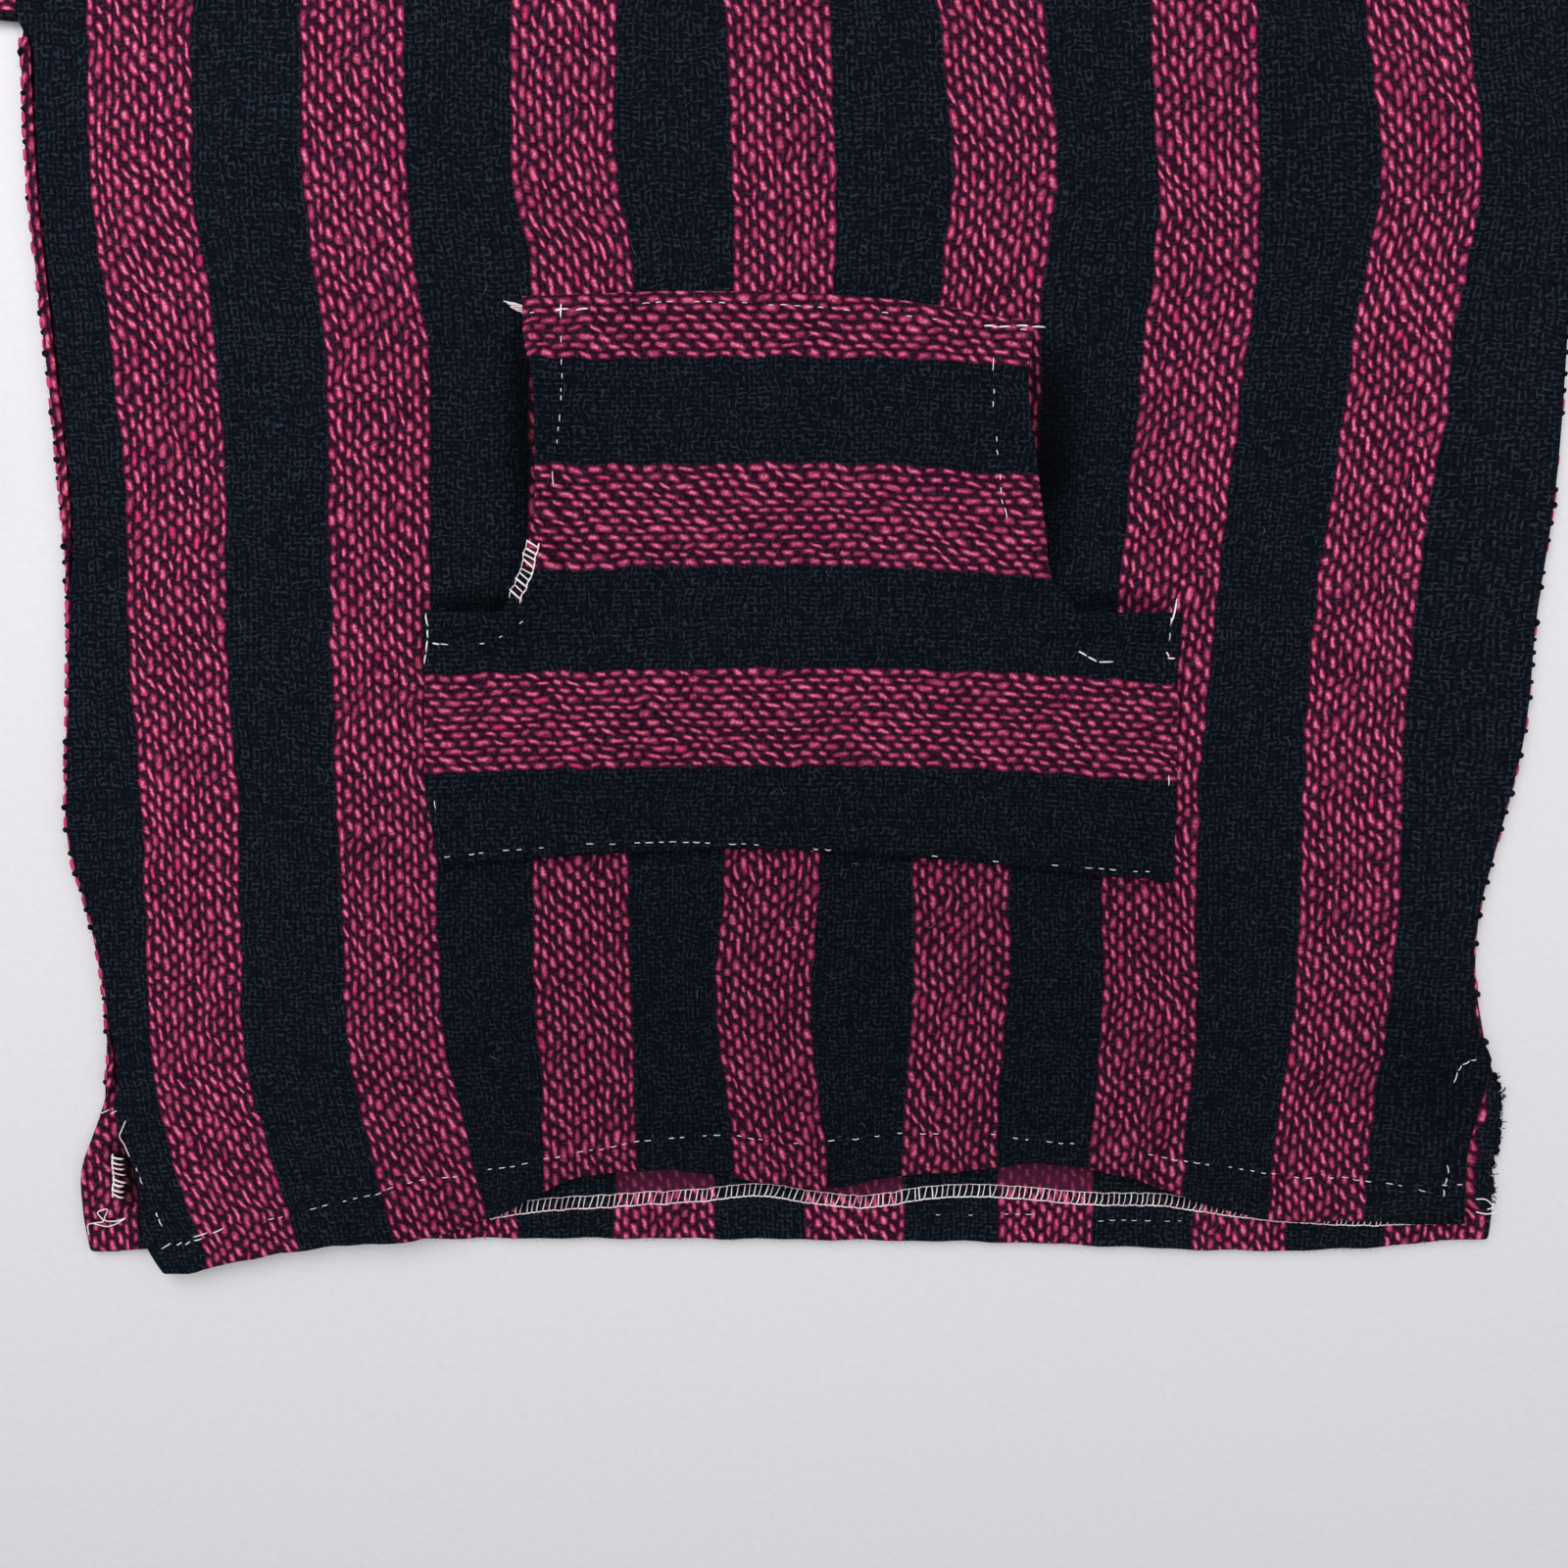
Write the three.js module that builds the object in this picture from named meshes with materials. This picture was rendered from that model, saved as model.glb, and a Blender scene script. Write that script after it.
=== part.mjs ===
// Baja hoodie of heavy striped cotton, laid flat and face up on a surface.
// The body lies front over back, the pocket lies on the front, the hood lies open beyond the neck,
// and each sleeve is folded over a slanting line so that its forearm lies beside the body.
// Millimetres. +X is towards the wearer's left, +Y from the hem to the hood, +Z up from the surface.
import * as THREE from "three";

// Driving dimensions of the cloth and its layers
const clothThickness = 2.2;
const layerGap = 1.0;
const seamGap = 0.3;
const pocketGap = 0.4;
const backUnder = 0;
const backTop = backUnder + clothThickness;
const frontUnder = backTop + layerGap;
const frontTop = frontUnder + clothThickness;
const seamHeight = (backUnder + frontTop) / 2;

// Driving dimensions of the body
const bodyHalfWidth = 305;
const armpitY = 505;
const armholeDepth = 250;
const shoulderEndY = armpitY + armholeDepth;
const shoulderNeckY = 758;
const neckHalfWidth = 100;
const backNeckY = 746;
const slitBottomY = 612;
const hemDepth = 18;
const hemStep = 1.5;
const ventTop = { left: 62, right: 84 };
const seamStartLength = 6;

// Round edge where a front and a back layer meet at a seam or a fold
const edgeRadius = seamHeight - seamGap / 2;
const innerEdgeRadius = edgeRadius - clothThickness;
const edgeSteps = [0, 30, 60, 90];

// Side edges of the closed body, and of the front below the side vents
const sideEdges = [
  { y: -12, left: -313, right: 303 },
  { y: 15, left: -316, right: 306 },
  { y: 35, left: -315, right: 304.5 },
  { y: 50, left: -309, right: 305.5 },
  { y: 72, left: -302, right: 303 },
  { y: 98, left: -299.6, right: 294.9 },
  { y: 124, left: -300.7, right: 290.9 },
  { y: 150, left: -304.3, right: 291.5 },
  { y: 176, left: -309.9, right: 296.3 },
  { y: 226, left: -307.5, right: 304.9 },
  { y: 274, left: -303.4, right: 306 },
  { y: 322, left: -302.7, right: 309.5 },
  { y: 391, left: -304.9, right: 309.5 },
  { y: 436, left: -306.5, right: 308.5 },
  { y: armpitY, left: -bodyHalfWidth, right: bodyHalfWidth },
];
const frontSideEdges = [
  { y: -12, left: -280, right: 294.5 },
  { y: 0, left: -286, right: 295 },
  { y: 28, left: -288.5, right: 296 },
  { y: 48, left: -294.5, right: 298 },
  { y: 72, left: -300.5, right: 299 },
  ...sideEdges.filter((row) => row.y > 90),
];

// Lower edges, from the wearer's right to the wearer's left
const backHem = [
  { x: -316, y: -1.5 },
  { x: -200, y: 0.5 },
  { x: -60, y: 1.5 },
  { x: 80, y: 0 },
  { x: 250, y: -3 },
  { x: 306, y: 2.5 },
];
const frontHem = [
  { x: -284, y: -12.5 },
  { x: -264, y: -9.5 },
  { x: -249, y: -5.5 },
  { x: -227, y: -0.5 },
  { x: -179, y: 3.5 },
  { x: -144, y: 13.5 },
  { x: -109, y: 29.5 },
  { x: -66, y: 36 },
  { x: -32, y: 32 },
  { x: 7, y: 26.5 },
  { x: 37, y: 31.5 },
  { x: 80, y: 36 },
  { x: 114, y: 38.5 },
  { x: 157, y: 29.5 },
  { x: 188, y: 19 },
  { x: 209, y: 13.5 },
  { x: 253, y: 12 },
  { x: 294, y: 10.5 },
];

// How high the front hem stands off the back, which it rests on at both ends
const hemLifts = [
  { x: -300, lift: 3.7 },
  { x: -120, lift: 3.7 },
  { x: -98, lift: 1.8 },
  { x: -66, lift: 2.9 },
  { x: -20, lift: 1.6 },
  { x: 30, lift: 2.2 },
  { x: 80, lift: 2.9 },
  { x: 130, lift: 1.8 },
  { x: 180, lift: 3.7 },
  { x: 300, lift: 3.7 },
];
const hemLiftEnd = 62;

// Soft ridges in the front: place, direction in degrees, length, half width and height
const frontRidges = [
  { x: -276, y: 402, turn: 84, length: 150, width: 13, height: 2.0 },
  { x: -262, y: 300, turn: 118, length: 120, width: 15, height: 1.6 },
  { x: -248, y: 205, turn: 70, length: 110, width: 15, height: 1.3 },
  { x: 196, y: 372, turn: 66, length: 160, width: 16, height: 2.1 },
  { x: 236, y: 262, turn: 100, length: 150, width: 15, height: 1.5 },
  { x: 262, y: 158, turn: 74, length: 120, width: 14, height: 1.4 },
  { x: -190, y: 470, turn: 24, length: 150, width: 17, height: 1.6 },
  { x: 178, y: 505, turn: 152, length: 190, width: 18, height: 1.9 },
  { x: -215, y: 590, turn: 48, length: 190, width: 17, height: 1.9 },
  { x: 222, y: 640, turn: 126, length: 160, width: 16, height: 1.6 },
  { x: -20, y: 535, turn: 92, length: 130, width: 18, height: 1.4 },
];
const ridgeEdgeClearance = 26;

// Pocket edges from its lower to its upper seam; the hand openings are above the two shelves
const pocketEdges = [
  { y: 166, left: -152, right: 158 },
  { y: 200, left: -156, right: 158 },
  { y: 240, left: -155, right: 157 },
  { y: 275, left: -153.5, right: 156 },
  { y: 277.5, left: -121.5, right: 114 },
  { y: 287, left: -113, right: 105 },
  { y: 308, left: -106, right: 102.5 },
  { y: 337, left: -106.6, right: 98.5 },
  { y: 365, left: -107.5, right: 97 },
  { y: 392, left: -108.5, right: 96.2 },
];
const pocketLowerY = [{ x: -157, y: 170.5 }, { x: -6, y: 174.3 }, { x: 158, y: 163 }];
const pocketUpperY = [{ x: -109, y: 395.5 }, { x: -6, y: 401 }, { x: 96, y: 389 }];
const pocketLips = [
  { x: -101, y: 335, width: 20, length: 88, height: 2.2 },
  { x: 92, y: 335, width: 18, length: 84, height: 1.7 },
];
const pocketAcross = 14;

// Sleeve: a flattened tapered tube, its fold line and the wrap at the fold
const sleeveLength = 469;
const sleeveMidY = armpitY + armholeDepth / 2;
const cuffWidth = 158;
const sleeveFoldReach = 135;
const forearmDirection = { x: -0.1, y: -0.995 };
const tubeHeight = frontTop;
const tubeEdgeRadius = tubeHeight / 2;
const tubeInnerEdgeRadius = layerGap / 2;
const foldInnerRadius = 0.3;
const foldNeutralRadius = foldInnerRadius + tubeHeight / 2;
const foldLayerRise = 2 * (tubeHeight + foldInnerRadius);
const foldWrapLength = Math.PI * foldNeutralRadius;
const forearmDropStartY = 488;
const forearmDropEndY = 438;
const sleeveStations = { upperArm: 4, fold: 5, forearm: 12 };
const sleeveAcross = 5;
const sleeveRidges = [
  { along: 300, across: 18, turn: 8, length: 170, width: 12, height: 1.5 },
  { along: 392, across: -28, turn: -12, length: 120, width: 11, height: 1.2 },
];

// Hood half: rows from the neck seam to the top seam, each from the back seam round the side
// fold to the edge of the face opening
const hoodSeamX = seamGap / 2;
const hoodRows = [
  { along: 0, backY: 746.4, foldX: 99.5, foldY: 759.2, openX: hoodSeamX, openY: 613.1 },
  { along: 0.1, backY: 775, foldX: 131, foldY: 786, openX: 20, openY: 664 },
  { along: 0.25, backY: 822, foldX: 156, foldY: 846, openX: 45, openY: 735 },
  { along: 0.45, backY: 885, foldX: 167, foldY: 925, openX: 60, openY: 822 },
  { along: 0.65, backY: 952, foldX: 160, foldY: 1001, openX: 55, openY: 900 },
  { along: 0.8, backY: 1008, foldX: 132, foldY: 1046, openX: 37, openY: 955 },
  { along: 0.91, backY: 1043, foldX: 80, foldY: 1073, openX: 15, openY: 985 },
  { along: 1, backY: 1069, foldX: hoodSeamX, foldY: 1084, openX: hoodSeamX, openY: 998 },
];
const hoodStations = 17;
const hoodAcross = 5;
const hoodNeckSag = 12.8;
const hoodRidges = [
  { along: 0.3, across: 0.5, width: 0.18, spread: 0.22, height: 1.7 },
  { along: 0.66, across: 0.42, width: 0.16, spread: 0.2, height: 1.4 },
];

const colours = {
  stripedCotton: 0x5e1c34,
  pocketCotton: 0x6c2140,
};

const radians = THREE.MathUtils.degToRad;
const mix = THREE.MathUtils.lerp;

function smooth(t) {
  const held = THREE.MathUtils.clamp(t, 0, 1);
  return held * held * (3 - 2 * held);
}

// Value of one column of a table at a place between its rows
function lookUp(table, key, place, column) {
  const rows = [...table].sort((a, b) => a[key] - b[key]);
  if (place <= rows[0][key]) return rows[0][column];
  for (let i = 1; i < rows.length; i += 1) {
    if (place <= rows[i][key]) {
      const t = (place - rows[i - 1][key]) / (rows[i][key] - rows[i - 1][key]);
      return mix(rows[i - 1][column], rows[i][column], t);
    }
  }
  return rows[rows.length - 1][column];
}

// As lookUp, on a smooth curve through the rows
function curveThrough(table, key, place, column) {
  const last = table.length - 1;
  let i = 0;
  while (i < last - 1 && place > table[i + 1][key]) i += 1;
  const a = table[i];
  const b = table[i + 1];
  const before = table[Math.max(i - 1, 0)];
  const after = table[Math.min(i + 2, last)];
  const span = b[key] - a[key];
  const t = THREE.MathUtils.clamp((place - a[key]) / span, 0, 1);
  const startSlope = ((b[column] - before[column]) / (b[key] - before[key])) * span;
  const endSlope = ((after[column] - a[column]) / (after[key] - a[key])) * span;
  const t2 = t * t;
  const t3 = t2 * t;
  return (2 * t3 - 3 * t2 + 1) * a[column] + (t3 - 2 * t2 + t) * startSlope
    + (3 * t2 - 2 * t3) * b[column] + (t3 - t2) * endSlope;
}

// Closed wall between two grids of points with the same rows and columns.
// With joined ends the columns run round a tube.
function wall(outer, inner, joinedEnds = false) {
  const rows = outer.length;
  const columns = outer[0].length;
  const at = (layer, r, c) => (layer * rows + r) * columns + (c % columns);
  const quads = [];
  const spans = joinedEnds ? columns : columns - 1;
  for (let r = 0; r < rows - 1; r += 1) {
    for (let c = 0; c < spans; c += 1) {
      quads.push([at(0, r, c), at(0, r, c + 1), at(0, r + 1, c + 1), at(0, r + 1, c)]);
      quads.push([at(1, r, c), at(1, r + 1, c), at(1, r + 1, c + 1), at(1, r, c + 1)]);
    }
  }
  const end = rows - 1;
  for (let c = 0; c < spans; c += 1) {
    quads.push([at(0, 0, c + 1), at(0, 0, c), at(1, 0, c), at(1, 0, c + 1)]);
    quads.push([at(0, end, c), at(0, end, c + 1), at(1, end, c + 1), at(1, end, c)]);
  }
  const far = columns - 1;
  for (let r = 0; r < rows - 1 && !joinedEnds; r += 1) {
    quads.push([at(0, r, 0), at(0, r + 1, 0), at(1, r + 1, 0), at(1, r, 0)]);
    quads.push([at(0, r + 1, far), at(0, r, far), at(1, r, far), at(1, r + 1, far)]);
  }
  const points = [...outer.flat(), ...inner.flat()];
  return solidFrom(points, quads);
}

// Geometry of quads split in two, with its faces turned outwards. Each quad is split along the
// diagonal that leaves the fuller triangles, so that none is a sliver.
function solidFrom(points, quads) {
  const corner = (index) => new THREE.Vector3(...points[index]);
  const area = (face) => new THREE.Triangle(...face.map(corner)).getArea();
  const leastArea = (faces) => Math.min(...faces.map(area));
  let triangles = quads.flatMap(([a, b, c, d]) => {
    const first = [[a, b, c], [a, c, d]];
    const second = [[a, b, d], [b, c, d]];
    return leastArea(first) >= leastArea(second) ? first : second;
  });
  const volume = triangles.reduce((sum, [a, b, c]) => sum
    + corner(a).dot(corner(b).cross(corner(c))), 0);
  if (volume < 0) triangles = triangles.map(([a, b, c]) => [a, c, b]);
  const geometry = new THREE.BufferGeometry();
  geometry.setAttribute("position", new THREE.Float32BufferAttribute(points.flat(), 3));
  geometry.setIndex(triangles.flat());
  geometry.computeVertexNormals();
  return geometry;
}

function clothMesh(name, geometry, colour = colours.stripedCotton) {
  const material = new THREE.MeshStandardMaterial({ color: colour, roughness: 0.95, metalness: 0 });
  const mesh = new THREE.Mesh(geometry, material);
  mesh.name = name;
  return mesh;
}

// Inset and drop of the outer and inner face at a round edge; a share of 0 leaves it square
function roundEdge(step, share) {
  const sine = Math.sin(radians(step));
  const cosine = Math.cos(radians(step));
  const squareInset = edgeRadius * (1 - sine);
  return {
    outerInset: squareInset,
    innerInset: mix(squareInset, edgeRadius - innerEdgeRadius * sine, share),
    outerDrop: share * edgeRadius * (1 - cosine),
    innerDrop: share * innerEdgeRadius * (1 - cosine),
  };
}

// Columns across a body panel: round edges at both sides, true places between them
function panelColumns(homes) {
  const flat = homes.map((home) => ({ home, side: 0, step: 0 }));
  const edge = (side) => edgeSteps.map((step) => ({ home: side * bodyHalfWidth, side, step }));
  return [...edge(-1).reverse(), ...flat, ...edge(1)];
}

function mirrored(places) {
  const negative = places.filter((place) => place > 0).map((place) => -place).reverse();
  return [...negative, ...places];
}

// Even shares from 0 to 1, without the first one where `first` is 1
function evenShares(count, first) {
  return Array.from({ length: count + 1 - first }, (_, i) => (i + first) / count);
}

// Share of a side seam's round edge at a height: none along the vent and the armhole
function sideSeamShare(side, y) {
  const start = side < 0 ? ventTop.left : ventTop.right;
  const aboveVent = smooth((y - start) / seamStartLength);
  const belowArmhole = 1 - smooth((y - (armpitY - seamStartLength)) / seamStartLength);
  return aboveVent * belowArmhole;
}

function shoulderY(home) {
  const t = (Math.abs(home) - neckHalfWidth) / (bodyHalfWidth - neckHalfWidth);
  return mix(shoulderNeckY, shoulderEndY, t);
}

function backTopEdge(home) {
  const t = Math.abs(home) / neckHalfWidth;
  return t < 1 ? mix(backNeckY, shoulderNeckY, t * t) : shoulderY(home);
}

function frontTopEdge(home) {
  const t = Math.abs(home) / neckHalfWidth;
  return t < 1 ? mix(slitBottomY, shoulderNeckY, t) : shoulderY(home);
}

// Body panel as a closed wall. `faces` gives the heights of its outer and inner face, and
// `outward` is 1 where the outer face is on top.
function bodyPanel({ homes, hem, edges, topEdge, nearHem, sideRows, armholeRows, faces, outward }) {
  const columns = panelColumns(homes);
  const place = (column, row) => {
    const hemY = lookUp(hem, "x", column.home, "y");
    const topY = topEdge(column.home);
    const lowY = hemY + nearHem[nearHem.length - 1];
    const seamEndY = armpitY - seamStartLength;
    const heights = {
      hem: hemY + row.share,
      side: mix(lowY, seamEndY, row.share),
      armhole: mix(armpitY, topY - edgeRadius, row.share),
    };
    const y = heights[row.zone];
    const side = column.home < 0 ? "left" : "right";
    const edgeX = lookUp(edges, "y", y, side);
    return { y, hemY, edgeX, x: (column.home / bodyHalfWidth) * Math.abs(edgeX) };
  };
  const rows = [
    ...nearHem.map((share) => ({ zone: "hem", share, step: 0 })),
    ...evenShares(sideRows, 1).map((share) => ({ zone: "side", share, step: 0 })),
    ...evenShares(armholeRows, 0).map((share) => ({ zone: "armhole", share, step: 0 })),
    ...edgeSteps.slice(1).map((step) => ({ zone: "armhole", share: 1, step })),
  ];
  const outer = [];
  const inner = [];
  rows.forEach((row) => {
    const outerRow = [];
    const innerRow = [];
    columns.forEach((column) => {
      const at = place(column, row);
      const sideEdge = roundEdge(column.step, sideSeamShare(column.side, at.y));
      const shoulderEdge = roundEdge(row.step, Math.abs(column.home) >= neckHalfWidth ? 1 : 0);
      const height = faces(at.x, at.y, at.y - at.hemY);
      const outerX = column.side ? at.edgeX - column.side * sideEdge.outerInset : at.x;
      const innerX = column.side ? at.edgeX - column.side * sideEdge.innerInset : at.x;
      const outerY = at.y + edgeRadius - shoulderEdge.outerInset;
      const innerY = at.y + edgeRadius - shoulderEdge.innerInset;
      const outerDrop = sideEdge.outerDrop + shoulderEdge.outerDrop;
      const innerDrop = sideEdge.innerDrop + shoulderEdge.innerDrop;
      outerRow.push([outerX, outerY, height.outer - outward * outerDrop]);
      innerRow.push([innerX, innerY, height.inner - outward * innerDrop]);
    });
    outer.push(outerRow);
    inner.push(innerRow);
  });
  return wall(outer, inner);
}

// Height of one soft ridge at a place, in any pair of coordinates
function ridgeHeight(ridge, x, y, centreX, centreY) {
  const turn = radians(ridge.turn);
  const along = (x - centreX) * Math.cos(turn) + (y - centreY) * Math.sin(turn);
  const across = (y - centreY) * Math.cos(turn) - (x - centreX) * Math.sin(turn);
  const reach = along / (ridge.length / 2);
  return ridge.height * Math.exp(-((across / ridge.width) ** 2)) * Math.exp(-(reach ** 4));
}

// Rise of the front over its flat height: its ridges, and the hem standing off the back
function frontRise(x, y, fromHem) {
  const edgeDistance = bodyHalfWidth - Math.abs(x);
  const topDistance = frontTopEdge(x) - y;
  const clear = smooth(edgeDistance / ridgeEdgeClearance) * smooth(topDistance / ridgeEdgeClearance);
  const ridges = frontRidges.reduce((sum, ridge) => sum
    + ridgeHeight(ridge, x, y, ridge.x, ridge.y), 0);
  const hemShare = 1 - smooth((fromHem - hemDepth) / (hemLiftEnd - hemDepth));
  const awayFromHem = smooth((fromHem - hemLiftEnd) / ridgeEdgeClearance);
  return clear * awayFromHem * ridges + hemShare * lookUp(hemLifts, "x", x, "lift");
}

function frontFaceHeight(x, y) {
  return frontTop + frontRise(x, y, y - lookUp(frontHem, "x", x, "y"));
}

function frontPanel() {
  const homes = mirrored([0, 25, 50, 75, 100, 130, 158, 180, 200, 220, 240, 260, 280]);
  const geometry = bodyPanel({
    homes,
    hem: frontHem,
    edges: frontSideEdges,
    topEdge: frontTopEdge,
    nearHem: [0, hemDepth, hemDepth + hemStep, 40, 64],
    sideRows: 14,
    armholeRows: 6,
    outward: 1,
    faces: (x, y, fromHem) => {
      const outer = frontTop + frontRise(x, y, fromHem);
      const layers = fromHem <= hemDepth ? 2 : 1;
      return { outer, inner: outer - layers * clothThickness };
    },
  });
  return clothMesh("front_panel", geometry);
}

function backPanel() {
  const homes = mirrored([0, 33, 67, 100, 150, 200, 250]);
  const geometry = bodyPanel({
    homes,
    hem: backHem,
    edges: sideEdges,
    topEdge: backTopEdge,
    nearHem: [0, hemDepth, hemDepth + hemStep, 50, 68],
    sideRows: 9,
    armholeRows: 3,
    outward: -1,
    faces: (x, y, fromHem) => {
      const layers = fromHem <= hemDepth ? 2 : 1;
      return { outer: backUnder, inner: backUnder + layers * clothThickness };
    },
  });
  return clothMesh("back_panel", geometry);
}

// The pocket lies on the front, with the lips of its two hand openings lifted a little
function kangarooPocket() {
  const outer = [];
  const inner = [];
  const lowest = pocketEdges[0].y;
  const highest = pocketEdges[pocketEdges.length - 1].y;
  pocketEdges.forEach((row) => {
    const outerRow = [];
    const innerRow = [];
    for (let i = 0; i <= pocketAcross; i += 1) {
      const x = mix(row.left, row.right, i / pocketAcross);
      const lowerBend = lookUp(pocketLowerY, "x", x, "y") - lowest;
      const upperBend = lookUp(pocketUpperY, "x", x, "y") - highest;
      const t = (row.y - lowest) / (highest - lowest);
      const y = row.y + mix(lowerBend, upperBend, t ** 2) * Math.abs(2 * t - 1);
      const lip = pocketLips.reduce((sum, form) => sum + form.height
        * Math.exp(-(((x - form.x) / form.width) ** 2))
        * Math.exp(-(((y - form.y) / (form.length / 2)) ** 4)), 0);
      const under = frontFaceHeight(x, y) + pocketGap + lip;
      innerRow.push([x, y, under]);
      outerRow.push([x, y, under + clothThickness]);
    }
    outer.push(outerRow);
    inner.push(innerRow);
  });
  return clothMesh("kangaroo_pocket", wall(outer, inner), colours.pocketCotton);
}

// Section of a flattened tube: places across as a share of its half width less the edge radius,
// plus what the round edge adds, and heights above the surface
function tubeSection(edge, low, high) {
  const section = [];
  const steps = [-60, -20, 20, 60];
  const middle = (low + high) / 2;
  const flat = (height, order) => {
    for (let i = 0; i <= sleeveAcross; i += 1) {
      section.push({ share: order * (2 * (i / sleeveAcross) - 1), beyond: 0, height });
    }
  };
  const round = (side) => steps.forEach((step) => section.push({
    share: side,
    beyond: side * edge * Math.cos(radians(step)),
    height: middle + side * edge * Math.sin(radians(step)),
  }));
  flat(low, 1);
  round(1);
  flat(high, -1);
  round(-1);
  return section;
}

// Where a point of the straight sleeve goes when its forearm is folded over the slanting line
function foldedSleevePoint(along, across, height, side) {
  const line = new THREE.Vector2(1 + forearmDirection.x, forearmDirection.y).normalize();
  const out = new THREE.Vector2(-line.y, line.x);
  const fromElbow = new THREE.Vector2(along - sleeveFoldReach, across);
  const past = fromElbow.dot(out);
  const slide = fromElbow.dot(line);
  let reach = past;
  let z = height;
  if (past > 0 && past < foldWrapLength) {
    const angle = past / foldNeutralRadius;
    const radius = tubeHeight + foldInnerRadius - height;
    reach = radius * Math.sin(angle);
    z = tubeHeight + foldInnerRadius - radius * Math.cos(angle);
  } else if (past >= foldWrapLength) {
    reach = foldWrapLength - past;
    z = foldLayerRise - height;
  }
  const place = line.clone().multiplyScalar(slide).addScaledVector(out, reach);
  const y = sleeveMidY + place.y;
  if (past >= foldWrapLength) {
    const drop = smooth((forearmDropStartY - y) / (forearmDropStartY - forearmDropEndY));
    z -= foldLayerRise / 2 * drop;
  }
  const x = bodyHalfWidth + seamGap + sleeveFoldReach + place.x;
  return [side * x, y, z];
}

// Distance along the sleeve of a station at a place across it, sheared to the fold line nearby
function stationPlace(station, across) {
  const line = new THREE.Vector2(1 + forearmDirection.x, forearmDirection.y).normalize();
  const out = new THREE.Vector2(-line.y, line.x);
  const foldStart = sleeveFoldReach - (across * out.y) / out.x;
  const foldEnd = foldStart + foldWrapLength / out.x;
  const { upperArm, fold, forearm } = sleeveStations;
  if (station <= upperArm) return mix(0, foldStart, station / upperArm);
  if (station <= upperArm + fold) return mix(foldStart, foldEnd, (station - upperArm) / fold);
  return mix(foldEnd, sleeveLength, (station - upperArm - fold) / forearm);
}

function sleeve(name, side) {
  const sections = [
    tubeSection(tubeEdgeRadius, 0, tubeHeight),
    tubeSection(tubeInnerEdgeRadius, clothThickness, tubeHeight - clothThickness),
  ];
  const { upperArm, fold, forearm } = sleeveStations;
  const lastStation = upperArm + fold + forearm;
  const grids = sections.map((section) => {
    const grid = [];
    for (let station = 0; station <= lastStation; station += 1) {
      grid.push(section.map((point) => {
        let across = 0;
        let along = 0;
        for (let pass = 0; pass < 4; pass += 1) {
          const width = mix(armholeDepth, cuffWidth, along / sleeveLength);
          across = point.share * (width / 2 - tubeEdgeRadius) + point.beyond;
          along = stationPlace(station, across);
        }
        const onVisibleFace = point.beyond === 0 && point.height <= clothThickness;
        const ridges = onVisibleFace ? sleeveRidges.reduce((sum, ridge) => sum
          + ridgeHeight(ridge, along, across, ridge.along, ridge.across), 0) : 0;
        const flatShare = smooth((1 - Math.abs(point.share)) * 3);
        return foldedSleevePoint(along, across, point.height - ridges * flatShare, side);
      }));
    }
    return grid;
  });
  return clothMesh(name, wall(grids[0], grids[1], true));
}

// One row of points of a hood half, from its back seam round the side fold to its opening edge
function hoodRow(along, edge, low, high, side) {
  const value = (column) => curveThrough(hoodRows, "along", along, column);
  const seam = new THREE.Vector2(hoodSeamX, value("backY"));
  const fold = new THREE.Vector2(value("foldX"), value("foldY"));
  const open = new THREE.Vector2(Math.max(value("openX"), hoodSeamX), value("openY"));
  const underWay = fold.clone().sub(seam).normalize();
  const overWay = fold.clone().sub(open).normalize();
  const row = [];
  const push = (place, z) => row.push([side * Math.max(place.x, hoodSeamX), place.y, z]);
  const underEnd = fold.clone().addScaledVector(underWay, -tubeEdgeRadius);
  const overEnd = fold.clone().addScaledVector(overWay, -tubeEdgeRadius);
  for (let i = 0; i <= hoodAcross; i += 1) {
    const t = i / hoodAcross;
    const place = seam.clone().lerp(underEnd, t);
    place.y -= hoodNeckSag * t * (1 - t) * (1 - along) ** 4;
    push(place, low);
  }
  [-50, 0, 50].forEach((step) => {
    const way = underWay.clone().lerp(overWay, (step + 90) / 180).normalize();
    const out = edge * Math.cos(radians(step)) - tubeEdgeRadius;
    push(fold.clone().addScaledVector(way, out), (low + high) / 2 + edge * Math.sin(radians(step)));
  });
  for (let i = 0; i <= hoodAcross; i += 1) {
    const t = i / hoodAcross;
    const rise = hoodRidges.reduce((sum, ridge) => sum + ridge.height
      * Math.exp(-(((along - ridge.along) / ridge.spread) ** 2))
      * Math.exp(-(((t - ridge.across) / ridge.width) ** 2)), 0);
    push(overEnd.clone().lerp(open, t), high + rise);
  }
  return row;
}

function hoodHalf(name, side) {
  const outer = [];
  const inner = [];
  for (let i = 0; i < hoodStations; i += 1) {
    const along = i / (hoodStations - 1);
    outer.push(hoodRow(along, tubeEdgeRadius, 0, tubeHeight, side));
    inner.push(hoodRow(along, tubeInnerEdgeRadius, clothThickness, tubeHeight - clothThickness, side));
  }
  return clothMesh(name, wall(outer, inner));
}

const garment = new THREE.Group();
garment.add(
  backPanel(),
  frontPanel(),
  kangarooPocket(),
  sleeve("sleeve_left", 1),
  sleeve("sleeve_right", -1),
  hoodHalf("hood_left", 1),
  hoodHalf("hood_right", -1),
);

// The origin is under the middle of the whole garment, on the surface that it lies on
const box = new THREE.Box3().setFromObject(garment);
const middle = box.getCenter(new THREE.Vector3());
garment.position.set(-middle.x, -middle.y, -box.min.z);
const bajaHoodie = new THREE.Group();
bajaHoodie.add(garment);

export default bajaHoodie;
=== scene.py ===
import math

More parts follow.
